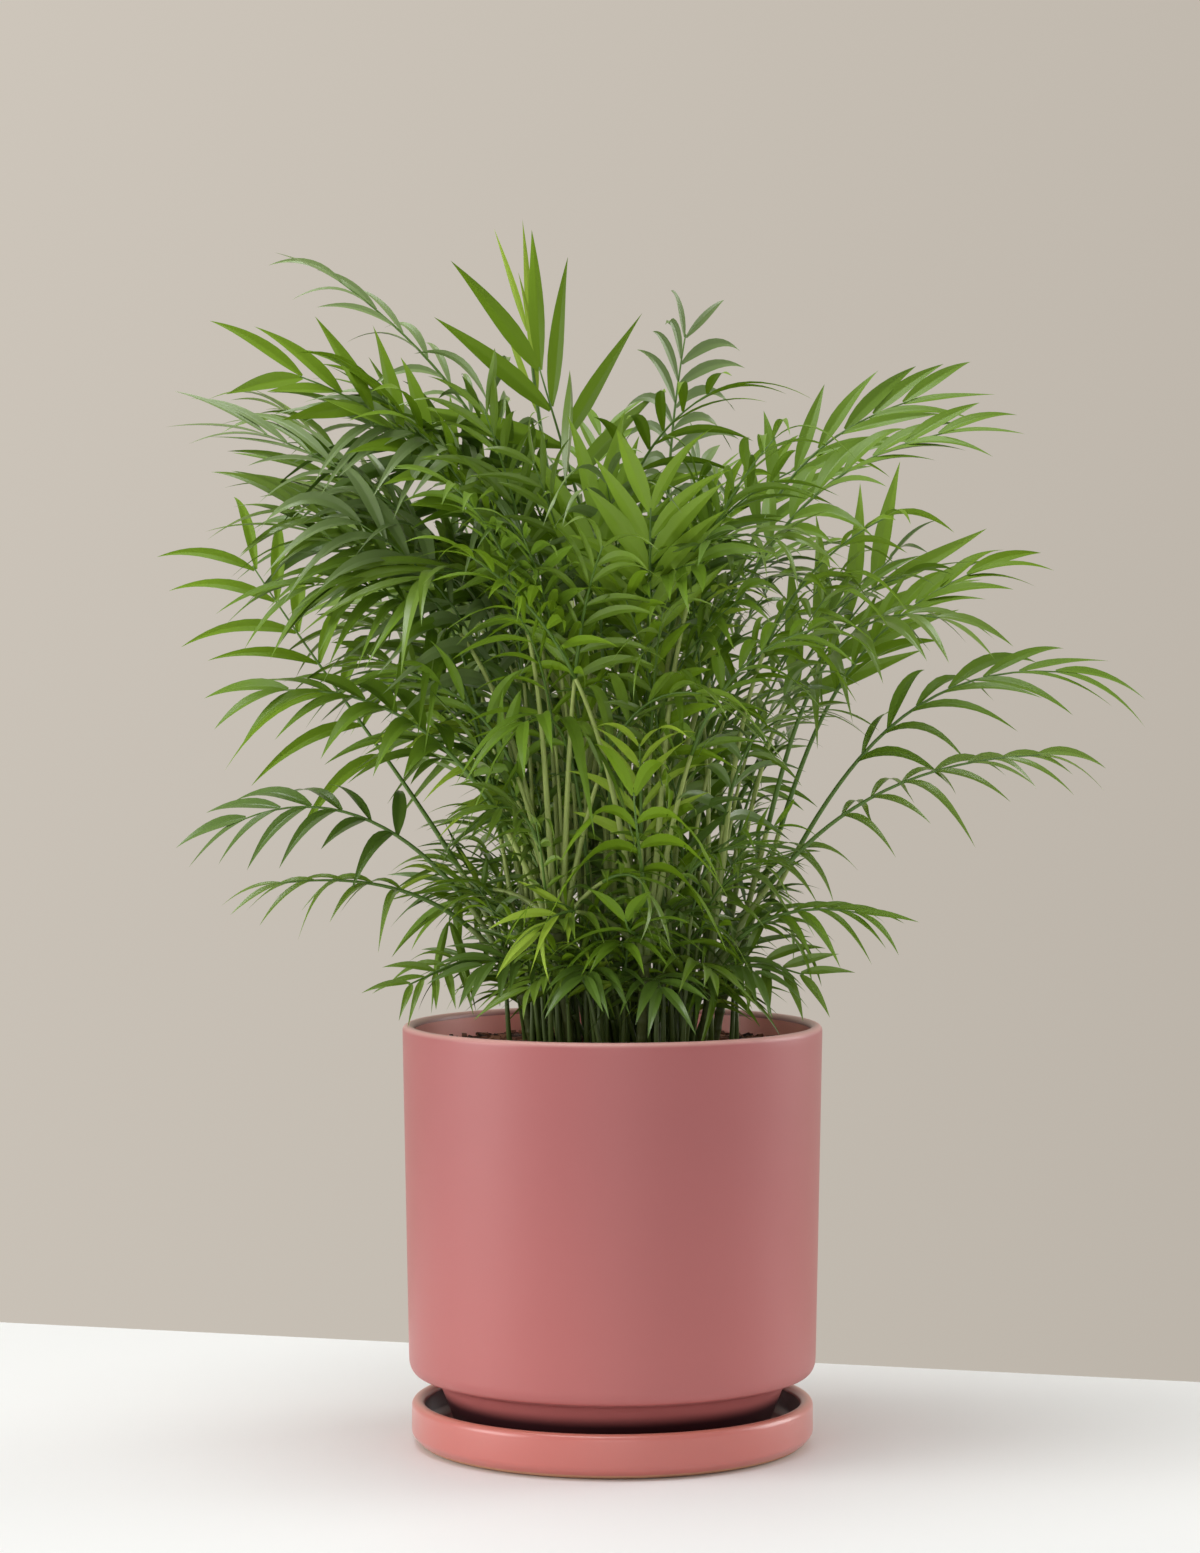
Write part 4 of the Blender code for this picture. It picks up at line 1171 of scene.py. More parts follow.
    def grow_all(self) -> list[Grown]:
        """Grow every frond of the solids, outline fronds first.

        Returns:
            The fronds. One of a spray that finds no room is left out, as in the solids.
        """
        self.plant_stems()
        rng = np.random.default_rng(self.seed)
        sprays = []
        for entry in self.sprays:
            sprays += self.spray_fronds(entry, rng)
        seats = {}
        for stem in self.stems.values():
            groups = [[frond] for frond in OUTLINE_FRONDS if frond.stem == stem.number]
            groups += [fronds for fronds in sprays if fronds[0].stem == stem.number]
            bearings = []
            for fronds in groups:
                away = sum(np.array(frond.tip) - stem.top for frond in fronds)
                bearings.append(math.degrees(math.atan2(away[1], away[0])))
            for fronds, seat in zip(groups, self.seats_of(stem, bearings)):
                seats[fronds[0].node] = seat
        grown = []
        for frond in OUTLINE_FRONDS:
            grown.append(self.settle(frond, seats[frond.node], grown)[0])
        for fronds in sprays:
            for frond in fronds:
                found, clear = self.settle(frond, seats[frond.node], grown)
                if clear:
                    grown.append(found)
        return grown


@dataclass(frozen=True)
class Band:
    """A kind of companion frond, by the ranges that its sizes are drawn from."""

    count: int
    heights: tuple[float, float]
    leaves: tuple[float, float]
    reach: tuple[float, float]  # as shares of the crown's radius
    inset: float  # how far inside the crown the rachis ends, in leaflet lengths
    root_turn: float  # the degrees between root and tip, seen from above
    root_radii: tuple[float, float]
    leafy: tuple[float, float]
    front_squeeze: float = 0.0  # the share of its radius that it loses at the front


@dataclass
class Companions:
    """Fronds finer than the solids have: young ones from the mix that fill the crown out.

    They grow by the same curve and end inside the crown's own outline.
    """

    growth: Growth
    tall: Band = Band(
        count=84,
        heights=(0.33, 0.54),
        leaves=(0.046, 0.060),
        reach=(0.42, 1.0),
        inset=0.75,
        root_turn=40.0,
        root_radii=(0.010, 0.052),
        leafy=(0.080, 0.108),
        front_squeeze=0.15,
    )
    low: Band = Band(
        count=76,
        heights=(0.228, 0.330),
        leaves=(0.026, 0.042),
        reach=(0.55, 1.0),
        inset=0.6,
        root_turn=30.0,
        root_radii=(0.025, 0.060),
        leafy=(0.040, 0.060),
    )
    bearing_play: float = 12.0
    right: float = 0.07  # the airy right side of the crown begins here
    right_top: float = 0.46
    right_thinning: int = 3  # of so many tall fronds there, one stands
    front_top: float = 0.50
    front_left: float = -0.06
    front_back: float = 0.02
    rim_radius: float = 0.07  # beyond this a low frond has to clear the pot's rim
    rim_side: float = 0.05
    rim_clear: tuple[float, float] = (0.236, 0.265)  # by so much height, on the left and right
    level_pitch: float = 68.0
    pitch_play: float = 16.0
    roll_play: float = 60.0
    slimness: tuple[float, float] = (0.20, 0.26)
    droops: tuple[float, float] = (0.2, 0.65)
    root_share: float = 0.25  # how far out a middle frond's root is, beside its tip
    seed: int = 23

    def is_open(self, band: Band, index: int, tip: np.ndarray) -> bool:
        """Say whether the crown stays open where a frond would end.

        Args:
            band: The frond's kind.
            index: Its number in the band.
            tip: Where its rachis would end.

        Returns:
            Whether it is left out.
        """
        x, y, height = tip
        if band is self.tall:
            thinned = x > self.right and (height > self.right_top or index % self.right_thinning > 0)
            return thinned or (height > self.front_top and y < self.front_back and x > self.front_left)
        beyond = math.hypot(x, y) > self.rim_radius and abs(x) > self.rim_side
        return beyond and height < self.rim_clear[int(x > 0)]

    def grow_band(self, band: Band, rng: np.random.Generator) -> list[Grown]:
        """Grow the fronds of one kind, spread round the clump by the golden angle.

        Args:
            band: The kind.
            rng: The draws.

        Returns:
            The fronds.
        """
        found = []
        for index in range(band.count):
            bearing = 360.0 * index * GOLDEN_SHARE + rng.uniform(-self.bearing_play, self.bearing_play)
            height, leaf, share = [rng.uniform(*span) for span in (band.heights, band.leaves, band.reach)]
            radius = self.growth.crown_radius(height) - band.inset * leaf
            radius = max(radius, self.growth.least_radius) * share
            radius *= 1 - band.front_squeeze * max(0.0, -math.sin(math.radians(bearing)))
            tip = plan_direction(bearing) * radius + (0, 0, height)
            turn = rng.uniform(-band.root_turn, band.root_turn)
            root = plan_direction(bearing + turn) * rng.uniform(*band.root_radii)
            if not self.is_open(band, index, tip):
                seat = root + (*self.growth.clump, self.growth.mix_top)
                found.append(self.companion(seat, tip, leaf, band.leafy, rng))
        return found

    def companion(
        self,
        seat: np.ndarray,
        tip: np.ndarray,
        leaf: float,
        leafy: tuple[float, float],
        rng: np.random.Generator,
    ) -> Grown:
        """Grow one companion frond.

        Args:
            seat: Where it leaves the mix.
            tip: Where its rachis ends.
            leaf: Its leaflets' length.
            leafy: The least and the most of its leafy length.
            rng: The draws.

        Returns:
            The frond with its curve.
        """
        chord = tip - seat
        slope = lean_of(chord)
        fall = self.growth.pitch_fall * slope
        longest = self.growth.leafy_share * float(np.linalg.norm(chord))
        frond = Frond(
            node="",
            stem=0,
            tip=tuple(tip),
            lean=self.growth.lean_share * slope,
            pitch=self.level_pitch - fall + rng.uniform(-self.pitch_play, self.pitch_play),
            roll=rng.uniform(-self.roll_play, self.roll_play),
            leafy=min(longest, rng.uniform(*leafy)),
            pairs=2,
            leaf=leaf,
            width=rng.uniform(*self.slimness) * leaf,
            droop=rng.uniform(*self.droops),
            companion=True,
        )
        return self.growth.grow(frond, seat)

    def grow_all(self) -> list[Grown]:
        """Grow the tall ones, the low ones and those in the middle.

        Returns:
            The fronds.
        """
        rng = np.random.default_rng(self.seed)
        found = self.grow_band(self.tall, rng) + self.grow_band(self.low, rng)
        for frond in MIDDLE_FRONDS:
            out = np.array(frond.tip) * (self.root_share, self.root_share, 0)
            seat = out + (*self.growth.clump, self.growth.mix_top)
            found.append(self.growth.grow(replace(frond, node="", companion=True), seat))
        return found


# The foliage.


@dataclass
class LeafletForm:
    """The outline and section of a leaflet: lance-shaped, folded a little along its midrib."""

    stations: tuple[float, ...] = (0.0, 0.05, 0.12, 0.22, 0.33, 0.44, 0.55, 0.66, 0.76, 0.85, 0.93, 1.0)
    widths: tuple[float, ...] = (0.24, 0.42, 0.68, 0.90, 1.0, 0.96, 0.84, 0.67, 0.48, 0.30, 0.14, 0.0)
    columns: tuple[float, ...] = (-1.0, -0.16, 0.0, 0.16, 1.0)
    fold: float = 0.30  # rise of the edges, as a share of half the width
    bend: float = 0.6
    least_reach: float = 0.8

    def points(self, leaflets: dict[str, np.ndarray]) -> tuple[np.ndarray, np.ndarray]:
        """Bend and place many leaflets at once.

        Args:
            leaflets: Arrays with a row for each leaflet: root, out, across and face, length,
                width, droop, twist, hook and sickle.

        Returns:
            The vertices of each, with its tip last, and their U and V.
        """
        share = np.array(self.stations)[None, :, None]
        row = {name: value.reshape(len(value), 1, -1) for name, value in leaflets.items()}
        fall = np.concatenate((np.zeros((len(leaflets["root"]), 1, 2)), row["droop"]), axis=2)
        reach = np.linalg.norm(row["out"] - self.bend * fall, axis=2, keepdims=True)
        scale = row["length"] / np.maximum(reach, self.least_reach)
        centre = row["root"] + (row["out"] * share - fall * share**2) * scale
        centre = centre - row["face"] * row["hook"] * row["length"] * share**3
        centre = centre + row["across"] * row["sickle"] * row["length"] * share**2
        run = unit(np.gradient(centre, np.array(self.stations), axis=1))
        across = unit(row["across"] - run * (row["across"] * run).sum(axis=2, keepdims=True))
        normal = np.cross(run, across)
        flip = np.sign((normal * row["face"]).sum(axis=2, keepdims=True))
        normal = normal * np.where(flip == 0, 1, flip)
        turn = row["twist"] * share
        side = across * np.cos(turn) + normal * np.sin(turn)
        normal = normal * np.cos(turn) - across * np.sin(turn)
        half = row["width"] / 2 * np.array(self.widths)[None, :, None]
        column = np.array(self.columns)[None, None, :, None]
        half, side, normal = half[..., None], side[:, :, None], normal[:, :, None]
        grid = centre[:, :, None] + side * half * column + normal * half * np.abs(column) * self.fold
        count, rows, columns = len(centre), len(self.stations), len(self.columns)
        body = grid[:, :-1].reshape(count, (rows - 1) * columns, 3)
        points = np.concatenate((body, centre[:, -1:]), axis=1)
        u = np.tile((np.array(self.columns) + 1) / 2, rows - 1)
        v = np.repeat(np.array(self.stations[:-1]), columns)
        place = np.stack((np.append(u, 0.5), np.append(v, 1.0)), axis=1)
        return points, place

    def faces(self) -> list[tuple[int, ...]]:
        """Give the faces of one leaflet, by its own vertex numbers.

        Returns:
            Four or three numbers for each face.
        """
        columns = len(self.columns)
        rows = len(self.stations) - 1
        found = []
        for row in range(rows - 1):
            for column in range(columns - 1):
                a = row * columns + column
                found.append((a, a + 1, a + 1 + columns, a + columns))
        last = (rows - 1) * columns
        found += [(last + column, last + column + 1, rows * columns) for column in range(columns - 1)]
        return found


# For inner fronds: up to what height, the shares of draws below which they are dark, deep,
# green and bright, and the green of the rest.
TONE_SHARES = (
    (0.34, (0.24, 0.56, 0.78, 0.92), Tone.PALE),
    (0.47, (0.18, 0.44, 0.66, 0.88), Tone.PALE),
    (1.00, (0.10, 0.32, 0.62, 0.90), Tone.GREY),
)


@dataclass(frozen=True)
class Fullness:
    """How wide and long the leaflets of inner fronds are in one region, as shares of the solids'."""

    low: Point  # the region's corners
    high: Point
    widths: tuple[float, float]
    lengths: tuple[float, float]


@dataclass
class Foliage:
    """The fronds' stalks and leaflets, joined by kind."""

    growth: Growth
    form: LeafletForm = field(default_factory=LeafletForm)
    leaf_spacing: float = 0.0148
    least_pairs: int = 3
    pair_play: float = 0.3  # how far the two of a pair are apart, as a share of the spacing
    leaf_play: float = 0.1
    tip_gap: float = 0.0017  # from the last leaflets to the rachis's end
    least_gap: float = 0.0012
    root_side: float = 0.0006  # how far from the rachis's middle a leaflet starts
    looseness: tuple[float, float] = (2.2, 1.3)  # of inner fronds and of those in the outline
    spreads: tuple[float, float] = (36, 72)  # an inner frond's angle between rachis and leaflets
    angle_play: float = 5.0
    lift: float = 14.0  # the degrees that leaflets rise out of the blade
    lift_play: float = 8.0
    size_play: tuple[float, float] = (0.93, 1.0)
    width_play: tuple[float, float] = (0.85, 1.08)
    droop_play: tuple[float, float] = (0.6, 1.35)
    inner_sag: float = 1.15
    steep_droop: float = 0.3  # from here the lower leaflets droop more than the upper ones
    twist_play: float = 14.0
    hooks: tuple[float, float] = (-0.04, 0.12)
    sickle_play: float = 0.045
    outline_shape: tuple[float, float] = (0.9, 1.0)  # the width and length of outline leaflets
    regions: tuple[Fullness, ...] = (
        Fullness((0.05, -1, 0.36), (1, 1, 1), (0.32, 0.44), (0.62, 0.86)),
        Fullness((-0.08, -1, 0), (1, -0.05, 1), (0.36, 0.50), (0.75, 1.05)),
        Fullness((-1, -1, 0.42), (-0.05, 1, 1), (0.54, 0.72), (1.1, 1.4)),
        Fullness((-1, -1, 0), (1, 1, 1), (0.38, 0.58), (0.80, 1.15)),
    )
    crown_share: float = 1.06  # how far beyond the crown's radius leaflets may reach
    crown_slack: float = 0.010
    crown_least: float = 0.5  # the least share of its length that a leaflet keeps
    box_slack: float = 0.003
    box_least: float = 0.3
    shade_right: float = 0.06  # beyond this fronds are seldom pale: painted shade on the side away from the stronger light
    shade_right_share: float = 0.78
    stalk_radii: tuple[float, float, float] = (0.0018, 0.0010, 0.0004)  # foot, first leaflets, tip
    slender: float = 0.8  # a companion's stalk beside the others
    collar: float = 0.35
    collar_length: float = 0.016
    bare_rings: int = 15
    leafy_rings: int = 11
    dark_from: int = 8  # the ring of an outline frond's bare stalk where the darker green begins
    sides: int = 7
    seed: int = 41
    petiole: CaneSkin = CaneSkin("petiole_skin", "AEBA6A", "93A554", "4F6229")
    rachis: CaneSkin = CaneSkin("rachis_skin", "5F7F30", "4E6C28", "55732C")

    def tone_of(self, frond: Frond, rng: np.random.Generator) -> Tone:
        """Choose a frond's green: inner and low ones are darker, those on the right darker still as painted
        shade, a few outer ones bright.

        Args:
            frond: The frond.
            rng: The frond's draws.

        Returns:
            The green.
        """
        draw = rng.uniform() * (self.shade_right_share if frond.tip[0] > self.shade_right else 1.0)
        if frond.drawn:
            return frond.tone
        _, shares, last = next(row for row in TONE_SHARES if frond.tip[2] < row[0])
        tones = (Tone.DARK, Tone.DEEP, Tone.GREEN, Tone.BRIGHT, last)
        return tones[sum(draw > share for share in shares)]

    def blade_frame(self, item: Grown, slopes: np.ndarray) -> tuple[np.ndarray, np.ndarray]:
        """Give the blade's directions about points of the rachis.

        Args:
            item: The frond with its curve.
            slopes: The rachis's directions at the points.

        Returns:
            The directions to the blade's side and out of its face.
        """
        side = leftwards(item.plan)
        face = unit(np.cross(slopes, side))
        cos, sin = math.cos(math.radians(item.frond.roll)), math.sin(math.radians(item.frond.roll))
        return side * cos + face * sin, face * cos - side * sin

    def seats_along(self, item: Grown, rng: np.random.Generator) -> tuple[np.ndarray, ...]:
        """Space the leaflets along one frond, in pairs whose two are a little apart.

        Args:
            item: The frond with its curve.
            rng: The frond's draws.

        Returns:
            For each leaflet its place from 0 to 1, its hand (1 or -1), its point on the rachis
            and the rachis's direction there.
        """
        frond = item.frond
        pairs = frond.pairs if frond.drawn else max(self.least_pairs, round(frond.leafy / self.leaf_spacing))
        place = np.repeat(np.arange(pairs + 1), 2) / pairs
        hand = np.tile((1.0, -1.0), pairs + 1)
        shift = np.where(hand > 0, 0.0, rng.uniform(-self.pair_play, self.pair_play)) / pairs
        shift[-2:] = 0
        back = frond.leafy * np.clip(1 - place + shift, 0, None) + self.tip_gap
        if not frond.drawn:
            play = rng.uniform(-self.leaf_play, self.leaf_play, len(back) - 2)
            back[:-2] += play * frond.leafy / pairs
        points, slopes = along(item.curve, curve_shares(item.curve, np.maximum(back, self.least_gap)))
        return place, hand, points, slopes

    def leaflets_of(self, item: Grown, rng: np.random.Generator) -> dict[str, np.ndarray]:
        """Set the leaflets along one frond.

        Args:
            item: The frond with its curve.
            rng: The draws for the small differences between leaflets.

        Returns:
            Arrays with a row for each leaflet.
        """
        frond, drawn = item.frond, item.frond.drawn
        place, hand, points, slopes = self.seats_along(item, rng)
        side, face = self.blade_frame(item, slopes)
        count = len(place)
        loose = self.looseness[drawn]
        spread = frond.spread if drawn else rng.uniform(*self.spreads)
        play = loose * rng.uniform(-self.angle_play, self.angle_play, count)
        angle = np.radians(spread + (frond.tip_spread - spread) * place + play)[:, None]
        lift = np.radians(self.lift + loose * rng.uniform(-self.lift_play, self.lift_play, count))[:, None]
        away = hand[:, None] * side * np.cos(lift) + face * np.sin(lift)
        out = unit(slopes * np.cos(angle) + away * np.sin(angle))
        across = unit(slopes - out * (slopes * out).sum(axis=1, keepdims=True))
        blade = unit(np.cross(out, across))
        blade = blade * np.sign((blade * face).sum(axis=1, keepdims=True))
        # leaflets are longest a little above the blade's middle
        size = 0.8 + 0.2 * np.sin(math.pi * np.minimum(1.0, 0.25 + 0.6 * place))
        size = size * rng.uniform(*self.size_play, count)
        slim, long = self.outline_shape if drawn else self.fullness(frond, rng)
        droop = frond.droop * (1.0 if drawn else self.inner_sag) * rng.uniform(*self.droop_play, count)
        if drawn and frond.droop >= self.steep_droop:
            droop = droop * (1.6 - 0.9 * place)
        length = self.kept_inside(points, out, droop, frond.leaf * size * long, drawn)
        return {
            "root": points + hand[:, None] * side * self.root_side,
            "out": out,
            "across": across,
            "face": blade,
            "length": length,
            "width": frond.width * size * slim * rng.uniform(*self.width_play, count),
            "droop": droop,
            "twist": np.radians(rng.normal(0, self.twist_play * loose, count)),
            "hook": rng.uniform(*self.hooks, count) * loose,
            "sickle": rng.normal(0, self.sickle_play, count) * loose,
        }

    def fullness(self, frond: Frond, rng: np.random.Generator) -> tuple[float, float]:
        """Draw how full an inner frond is, which is less on the airy right.

        Args:
            frond: The frond.
            rng: The frond's draws.

        Returns:
            The shares of width and length that its leaflets have.
        """
        tip = np.array(frond.tip)
        region = next(each for each in self.regions if (tip > each.low).all() and (tip < each.high).all())
        return rng.uniform(*region.widths), rng.uniform(*region.lengths)

    def kept_inside(
        self, roots: np.ndarray, out: np.ndarray, droop: np.ndarray, length: np.ndarray, drawn: bool
    ) -> np.ndarray:
        """Shorten leaflets that would end outside the crown.

        Args:
            roots: Where they start.
            out: Their first directions.
            droop: How much they fall.
            length: Their lengths.
            drawn: Whether they belong to a frond of the outline, which only the solids' box holds in.

        Returns:
            The lengths that they keep.
        """
        fall = droop[:, None] * (0, 0, 1.0)
        reach = np.linalg.norm(out - self.form.bend * fall, axis=1)
        reach = np.maximum(reach, self.form.least_reach)[:, None]
        tips = roots + (out - fall) / reach * length[:, None]
        crown = np.interp(tips[:, 2], self.growth.crown_heights, self.growth.crown_radii)
        limit = crown * self.crown_share + self.crown_slack
        start, end = np.linalg.norm(roots[:, :2], axis=1), np.linalg.norm(tips[:, :2], axis=1)
        share = np.clip((limit - start) / np.maximum(end - start, 1 * MM), self.crown_least, 1.0)
        kept = np.ones(len(length)) if drawn else np.where(end > limit, share, 1.0)
        step = tips - roots
        for axis in (0, 1):
            for side, edge in ((-1, CAD_LOW[axis]), (1, CAD_HIGH[axis])):
                room = side * (edge - roots[:, axis]) + self.box_slack
                run = side * step[:, axis]
                kept = np.where(run > room, np.minimum(kept, room / np.maximum(run, 1e-6)), kept)
        return length * np.clip(kept, self.box_least, 1.0)

    def stalk_rings(self, item: Grown) -> tuple[np.ndarray, int]:
        """Sweep a frond's stalk.

        Args:
            item: The frond with its curve.

        Returns:
            The rings' points, and the ring from which the stalk has the rachis's darker green.
        """
        frond = item.frond
        lowest = float(curve_shares(item.curve, [frond.leafy + 4 * MM])[0])
        bare = np.linspace(0, lowest, self.bare_rings)
        shares = np.concatenate((bare, np.linspace(lowest, 1, self.leafy_rings + 1)[1:]))
        points, slopes = along(item.curve, shares)
        radius = np.interp(shares, (0, lowest, 1), self.stalk_radii)
        if frond.companion:
            radius = radius * self.slender
        else:
            radius = radius * (1 + self.collar * np.exp(-((run_along(points) / self.collar_length) ** 2)))
        rings = tube_rings(points, *self.blade_frame(item, slopes), radius, self.sides)
        return rings, self.dark_from if frond.drawn else self.bare_rings

    def build_stalks(self, grown: list[Grown]) -> None:
        """Build petioles and rachises, each kind joined in one piece.

        Args:
            grown: The fronds with their curves.
        """
        parts = {"petioles": ([], [], self.petiole), "rachises": ([], [], self.rachis)}
        for item in grown:
            rings, bare = self.stalk_rings(item)
            for name, chosen in (("petioles", rings[:bare]), ("rachises", rings[bare - 1 :])):
                points, faces, _ = parts[name]
                faces += tube_faces(len(chosen), self.sides, len(points) * self.sides)
                points.extend(chosen)
        for name, (points, faces, finish) in parts.items():
            obj = object_from(name, np.concatenate(points), faces, finish.make())
            settle_piece(obj)

    def build_leaves(self, grown: list[Grown]) -> None:
        """Build the leaflets, each green joined in one piece.

        Args:
            grown: The fronds with their curves.
        """
        sets: dict[Tone, list[dict[str, np.ndarray]]] = {tone: [] for tone in Tone}
        nodes: dict[Tone, list[str]] = {tone: [] for tone in Tone}
        taken: set[str] = {""}
        for number, item in enumerate(grown):
            rng = np.random.default_rng((self.seed, number))
            tone = self.tone_of(item.frond, rng)
            sets[tone].append(self.leaflets_of(item, rng))
            if item.frond.node not in taken:
                taken.add(item.frond.node)
                nodes[tone].append(item.frond.node)
        for tone, leaflets in sets.items():
            if leaflets:
                self.build_green(tone, leaflets, nodes[tone])

    def build_green(self, tone: Tone, leaflets: list[dict[str, np.ndarray]], nodes: list[str]) -> None:
        """Build all leaflets of one green.

        Args:
            tone: The green.
            leaflets: Each frond's arrays with a row for each leaflet.
            nodes: The solids that they stand for.
        """
        joined = {name: np.concatenate([each[name] for each in leaflets]) for name in leaflets[0]}
        points, place = self.form.points(joined)
        count, size = points.shape[:2]
        pattern = self.form.faces()
        starts = range(0, count * size, size)
        faces = [tuple(start + corner for corner in face) for start in starts for face in pattern]
        obj = object_from(tone.value.name, points.reshape(-1, 3), faces, tone.value.make())
        layer = obj.data.uv_layers.new(name="leaf")
        corners = np.empty(len(obj.data.loops), np.int64)
        obj.data.loops.foreach_get("vertex_index", corners)
        layer.data.foreach_set("uv", place[corners % size].ravel())
        settle_piece(obj, nodes)


@dataclass
class Canes:
    """The short canes: slender, ringed by the scars of old leaves, swollen where the fronds part."""

    girth_places: tuple[float, ...] = (0, 0.1, 0.75, 1.0)  # from foot to top
    girth_radii: tuple[float, ...] = (0.0029, 0.0024, 0.0024, 0.0036)
    ring_spacing: float = 0.009
    ring_relief: float = 0.00035
    ring_width: float = 0.12  # as a share of the spacing
    levels: int = 48
    sides: int = 14
    skin: CaneSkin = CaneSkin("cane_skin", "788444", "5E6A34", "4E5828", 0.5)

    def build(self, stems: Iterable[Stem]) -> None:
        """Build every cane as a piece of its own.

        Args:
            stems: The canes' places.
        """
        material = self.skin.make()
        east, north = np.array([(1.0, 0.0, 0.0)]), np.array([(0.0, 1.0, 0.0)])
        for stem in stems:
            length = float(np.linalg.norm(stem.top - stem.root))
            shares = np.linspace(0, 1, self.levels)
            radius = np.interp(shares, self.girth_places, self.girth_radii)
            phase = np.mod(shares * length, self.ring_spacing) / self.ring_spacing
            scar = np.exp(-((np.minimum(phase, 1 - phase) / self.ring_width) ** 2))
            centres = stem.root + (stem.top - stem.root) * shares[:, None]
            rings = tube_rings(centres, east, north, radius + self.ring_relief * scar, self.sides)
            faces = tube_faces(self.levels, self.sides)
            obj = object_from(f"cane_{stem.number:02d}", rings.reshape(-1, 3), faces, material)
            settle_piece(obj, [f"stem_{stem.number:02d}"])


# The studio.


@dataclass(frozen=True)
class SoftLight:
    """A square soft light that looks at the crown's foot."""

    name: str
    place: Point
    size: float
    watts: float
    colour: str = "FFFEFC"

    def build(self) -> None:
        """Hang the light."""
        data = bpy.data.lights.new(self.name, "AREA")
        data.shape = "SQUARE"
        data.size = self.size
        data.energy = self.watts
        data.color = linear(self.colour)[:3]
        obj = bpy.data.objects.new(self.name, data)
        bpy.context.scene.collection.objects.link(obj)
        obj.location = self.place
        away = np.array(self.place) - np.array((0, 0, 0.3))
        level = math.hypot(away[0], away[1])
        obj.rotation_euler = (math.atan2(level, away[2]), 0, math.atan2(away[1], away[0]) + math.pi / 2)


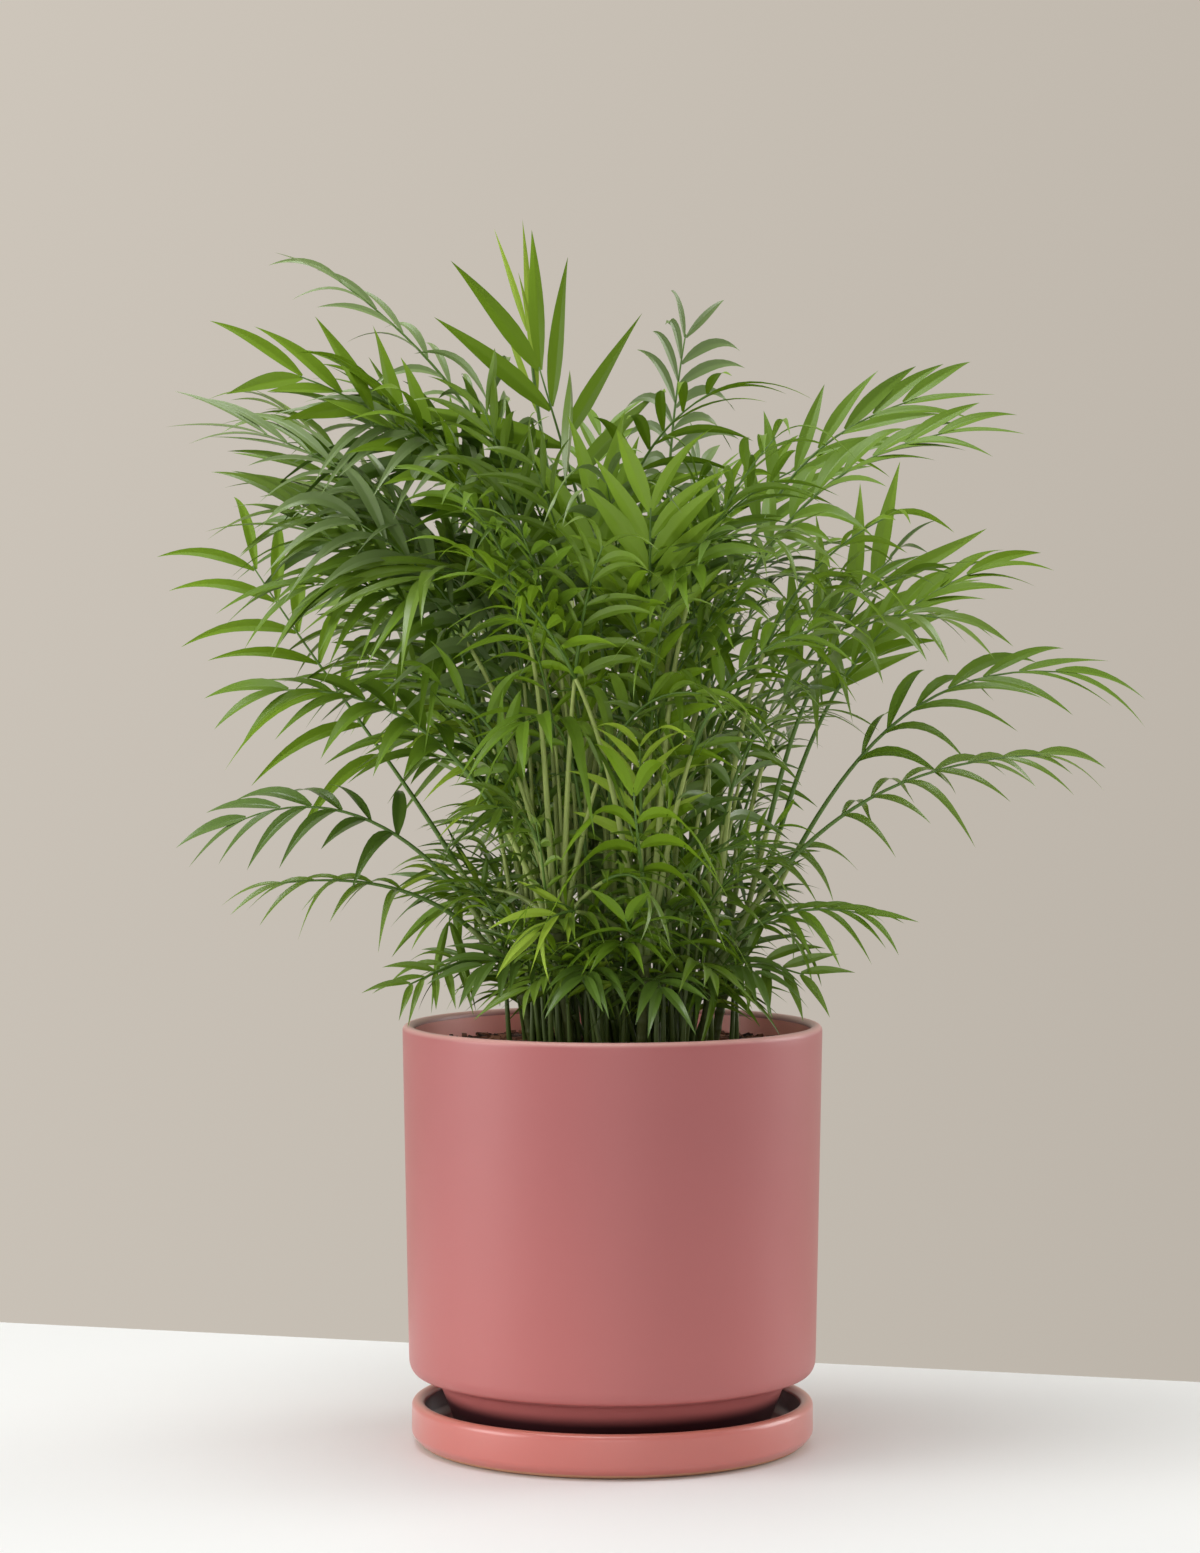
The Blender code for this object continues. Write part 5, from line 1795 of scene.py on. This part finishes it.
@dataclass
class Studio:
    """A pale table, a warm grey wall, soft lights and the camera."""

    wall_left: str = "CDC5BA"
    wall_right: str = "C1B9AE"
    wall_distance: float = 4.2
    wall_size: float = 16.0
    wall_blend: float = 0.95  # from so far left to so far right the wall's glow darkens, as painted light
    wall_dusk: float = 0.95  # its brightness at the table's height
    wall_bright_height: float = 1.4
    table: str = "ECEEEE"
    table_reach: float = 5.0
    table_depth: float = 0.04
    table_corners: tuple[tuple[float, float], ...] = ((-0.372, 0.365), (0.327, 0.166))
    room: str = "F4F4F2"
    room_glow: float = 0.50
    soft_lights: tuple[SoftLight, ...] = (
        SoftLight("soft_left", (-2.6, -0.8, 0.95), 1.7, 41),
        SoftLight("soft_right", (2.6, 0.9, 0.95), 1.7, 34),
        SoftLight("soft_top", (-0.3, -0.25, 2.4), 1.2, 29, "FFFFFF"),
        SoftLight("soft_front", (0.0, -3.0, 0.6), 1.6, 9),
    )
    camera_distance: float = 2.0
    camera_height: float = 0.3979
    camera_side: float = -0.0064
    camera_pitch: float = 1.566
    lens: float = 90.2

    def build_table(self) -> None:
        """Build the table top, whose back edge runs at a slant behind the pot."""
        (x0, y0), (x1, y1) = self.table_corners
        slope = (y1 - y0) / (x1 - x0)
        deselect()
        bpy.ops.mesh.primitive_plane_add(size=2 * self.table_reach, location=(0, 0, 0))
        obj = bpy.context.object
        obj.name = "table"
        for vertex in obj.data.vertices:
            if vertex.co.y > 0:
                vertex.co.y = y0 + slope * (vertex.co.x - x0)
        bpy.ops.object.mode_set(mode="EDIT")
        bpy.ops.mesh.extrude_region_move(TRANSFORM_OT_translate={"value": (0, 0, -self.table_depth)})
        bpy.ops.mesh.select_all(action="SELECT")
        bpy.ops.mesh.normals_make_consistent(inside=False)
        bpy.ops.object.mode_set(mode="OBJECT")
        material, _, _ = new_material("table_paint", {"Base Color": linear(self.table), "Roughness": 0.55})
        obj.data.materials.append(material)

    def wall_painted_light(self) -> bpy.types.Material:
        """Make the wall's own glow, painted from a lighter left to a darker right and dimmer low down, as
        the room's light falls on it.

        Returns:
            The material.
        """
        material = bpy.data.materials.new("wall_painted_light")
        material.use_nodes = True
        tree = material.node_tree
        tree.nodes.clear()
        place = add_node(tree, "ShaderNodeTexCoord").outputs["Object"]
        axes = add_node(tree, "ShaderNodeSeparateXYZ", {0: place}).outputs
        links = {"Value": axes["X"], "From Min": -self.wall_blend, "From Max": self.wall_blend}
        share = add_node(tree, "ShaderNodeMapRange", links)
        tint = add_node(tree, "ShaderNodeMix", {0: share.outputs[0]}, data_type="RGBA")
        tint.inputs[6].default_value = linear(self.wall_left)
        tint.inputs[7].default_value = linear(self.wall_right)
        links = {"Value": axes["Z"], "From Max": self.wall_bright_height, "To Min": self.wall_dusk}
        shade = add_node(tree, "ShaderNodeMapRange", links)
        # the wall glows though it is no lamp; its glow paints the light that falls on it
        links = {"Color": tint.outputs[2], "Strength": shade.outputs[0]}
        glow = add_node(tree, "ShaderNodeEmission", links)
        add_node(tree, "ShaderNodeOutputMaterial", {"Surface": glow.outputs[0]})
        return material

    def build_wall(self) -> None:
        """Build the wall behind the table."""
        deselect()
        start = {"location": (0, self.wall_distance, 0), "rotation": (math.pi / 2, 0, 0)}
        bpy.ops.mesh.primitive_plane_add(size=self.wall_size, **start)
        obj = bpy.context.object
        obj.name = "wall"
        bpy.ops.object.transform_apply(location=True, rotation=True)
        obj.data.materials.append(self.wall_painted_light())

    def build_lights(self) -> None:
        """Light it softly from both sides, weakly from the front, and dimly all round."""
        for light in self.soft_lights:
            light.build()
        world = bpy.data.worlds.new("room")
        bpy.context.scene.world = world
        world.use_nodes = True
        background = world.node_tree.nodes["Background"]
        background.inputs["Color"].default_value = linear(self.room)
        background.inputs["Strength"].default_value = self.room_glow

    def build_camera(self) -> None:
        """Set the camera where the photograph was taken from."""
        data = bpy.data.cameras.new("camera")
        data.lens = self.lens
        data.sensor_width = 36.0
        data.clip_start = 0.05
        data.clip_end = 50.0
        obj = bpy.data.objects.new("camera", data)
        bpy.context.scene.collection.objects.link(obj)
        obj.location = (self.camera_side, -self.camera_distance, self.camera_height)
        obj.rotation_euler = (math.radians(90 - self.camera_pitch), 0, 0)
        bpy.context.scene.camera = obj

    def build(self) -> None:
        """Build the whole stage."""
        bpy.context.scene.view_settings.view_transform = "Standard"
        self.build_table()
        self.build_wall()
        self.build_lights()
        self.build_camera()


def main() -> None:
    """Build the palm in order: pot, mix, canes, fronds, and the studio round them."""
    logging.basicConfig(level=logging.INFO, format="%(message)s")
    pot = Pot()
    pot.build()
    Saucer().build()
    mix = PottingMix()
    mix.build(pot.inner_radius(mix.top))
    growth = Growth()
    grown = growth.grow_all()
    LOG.info("%d fronds as in the solids", len(grown))
    Canes().build(growth.stems.values())
    grown += Companions(growth).grow_all()
    foliage = Foliage(growth)
    foliage.build_stalks(grown)
    foliage.build_leaves(grown)
    Studio().build()


if __name__ == "__main__":
    main()
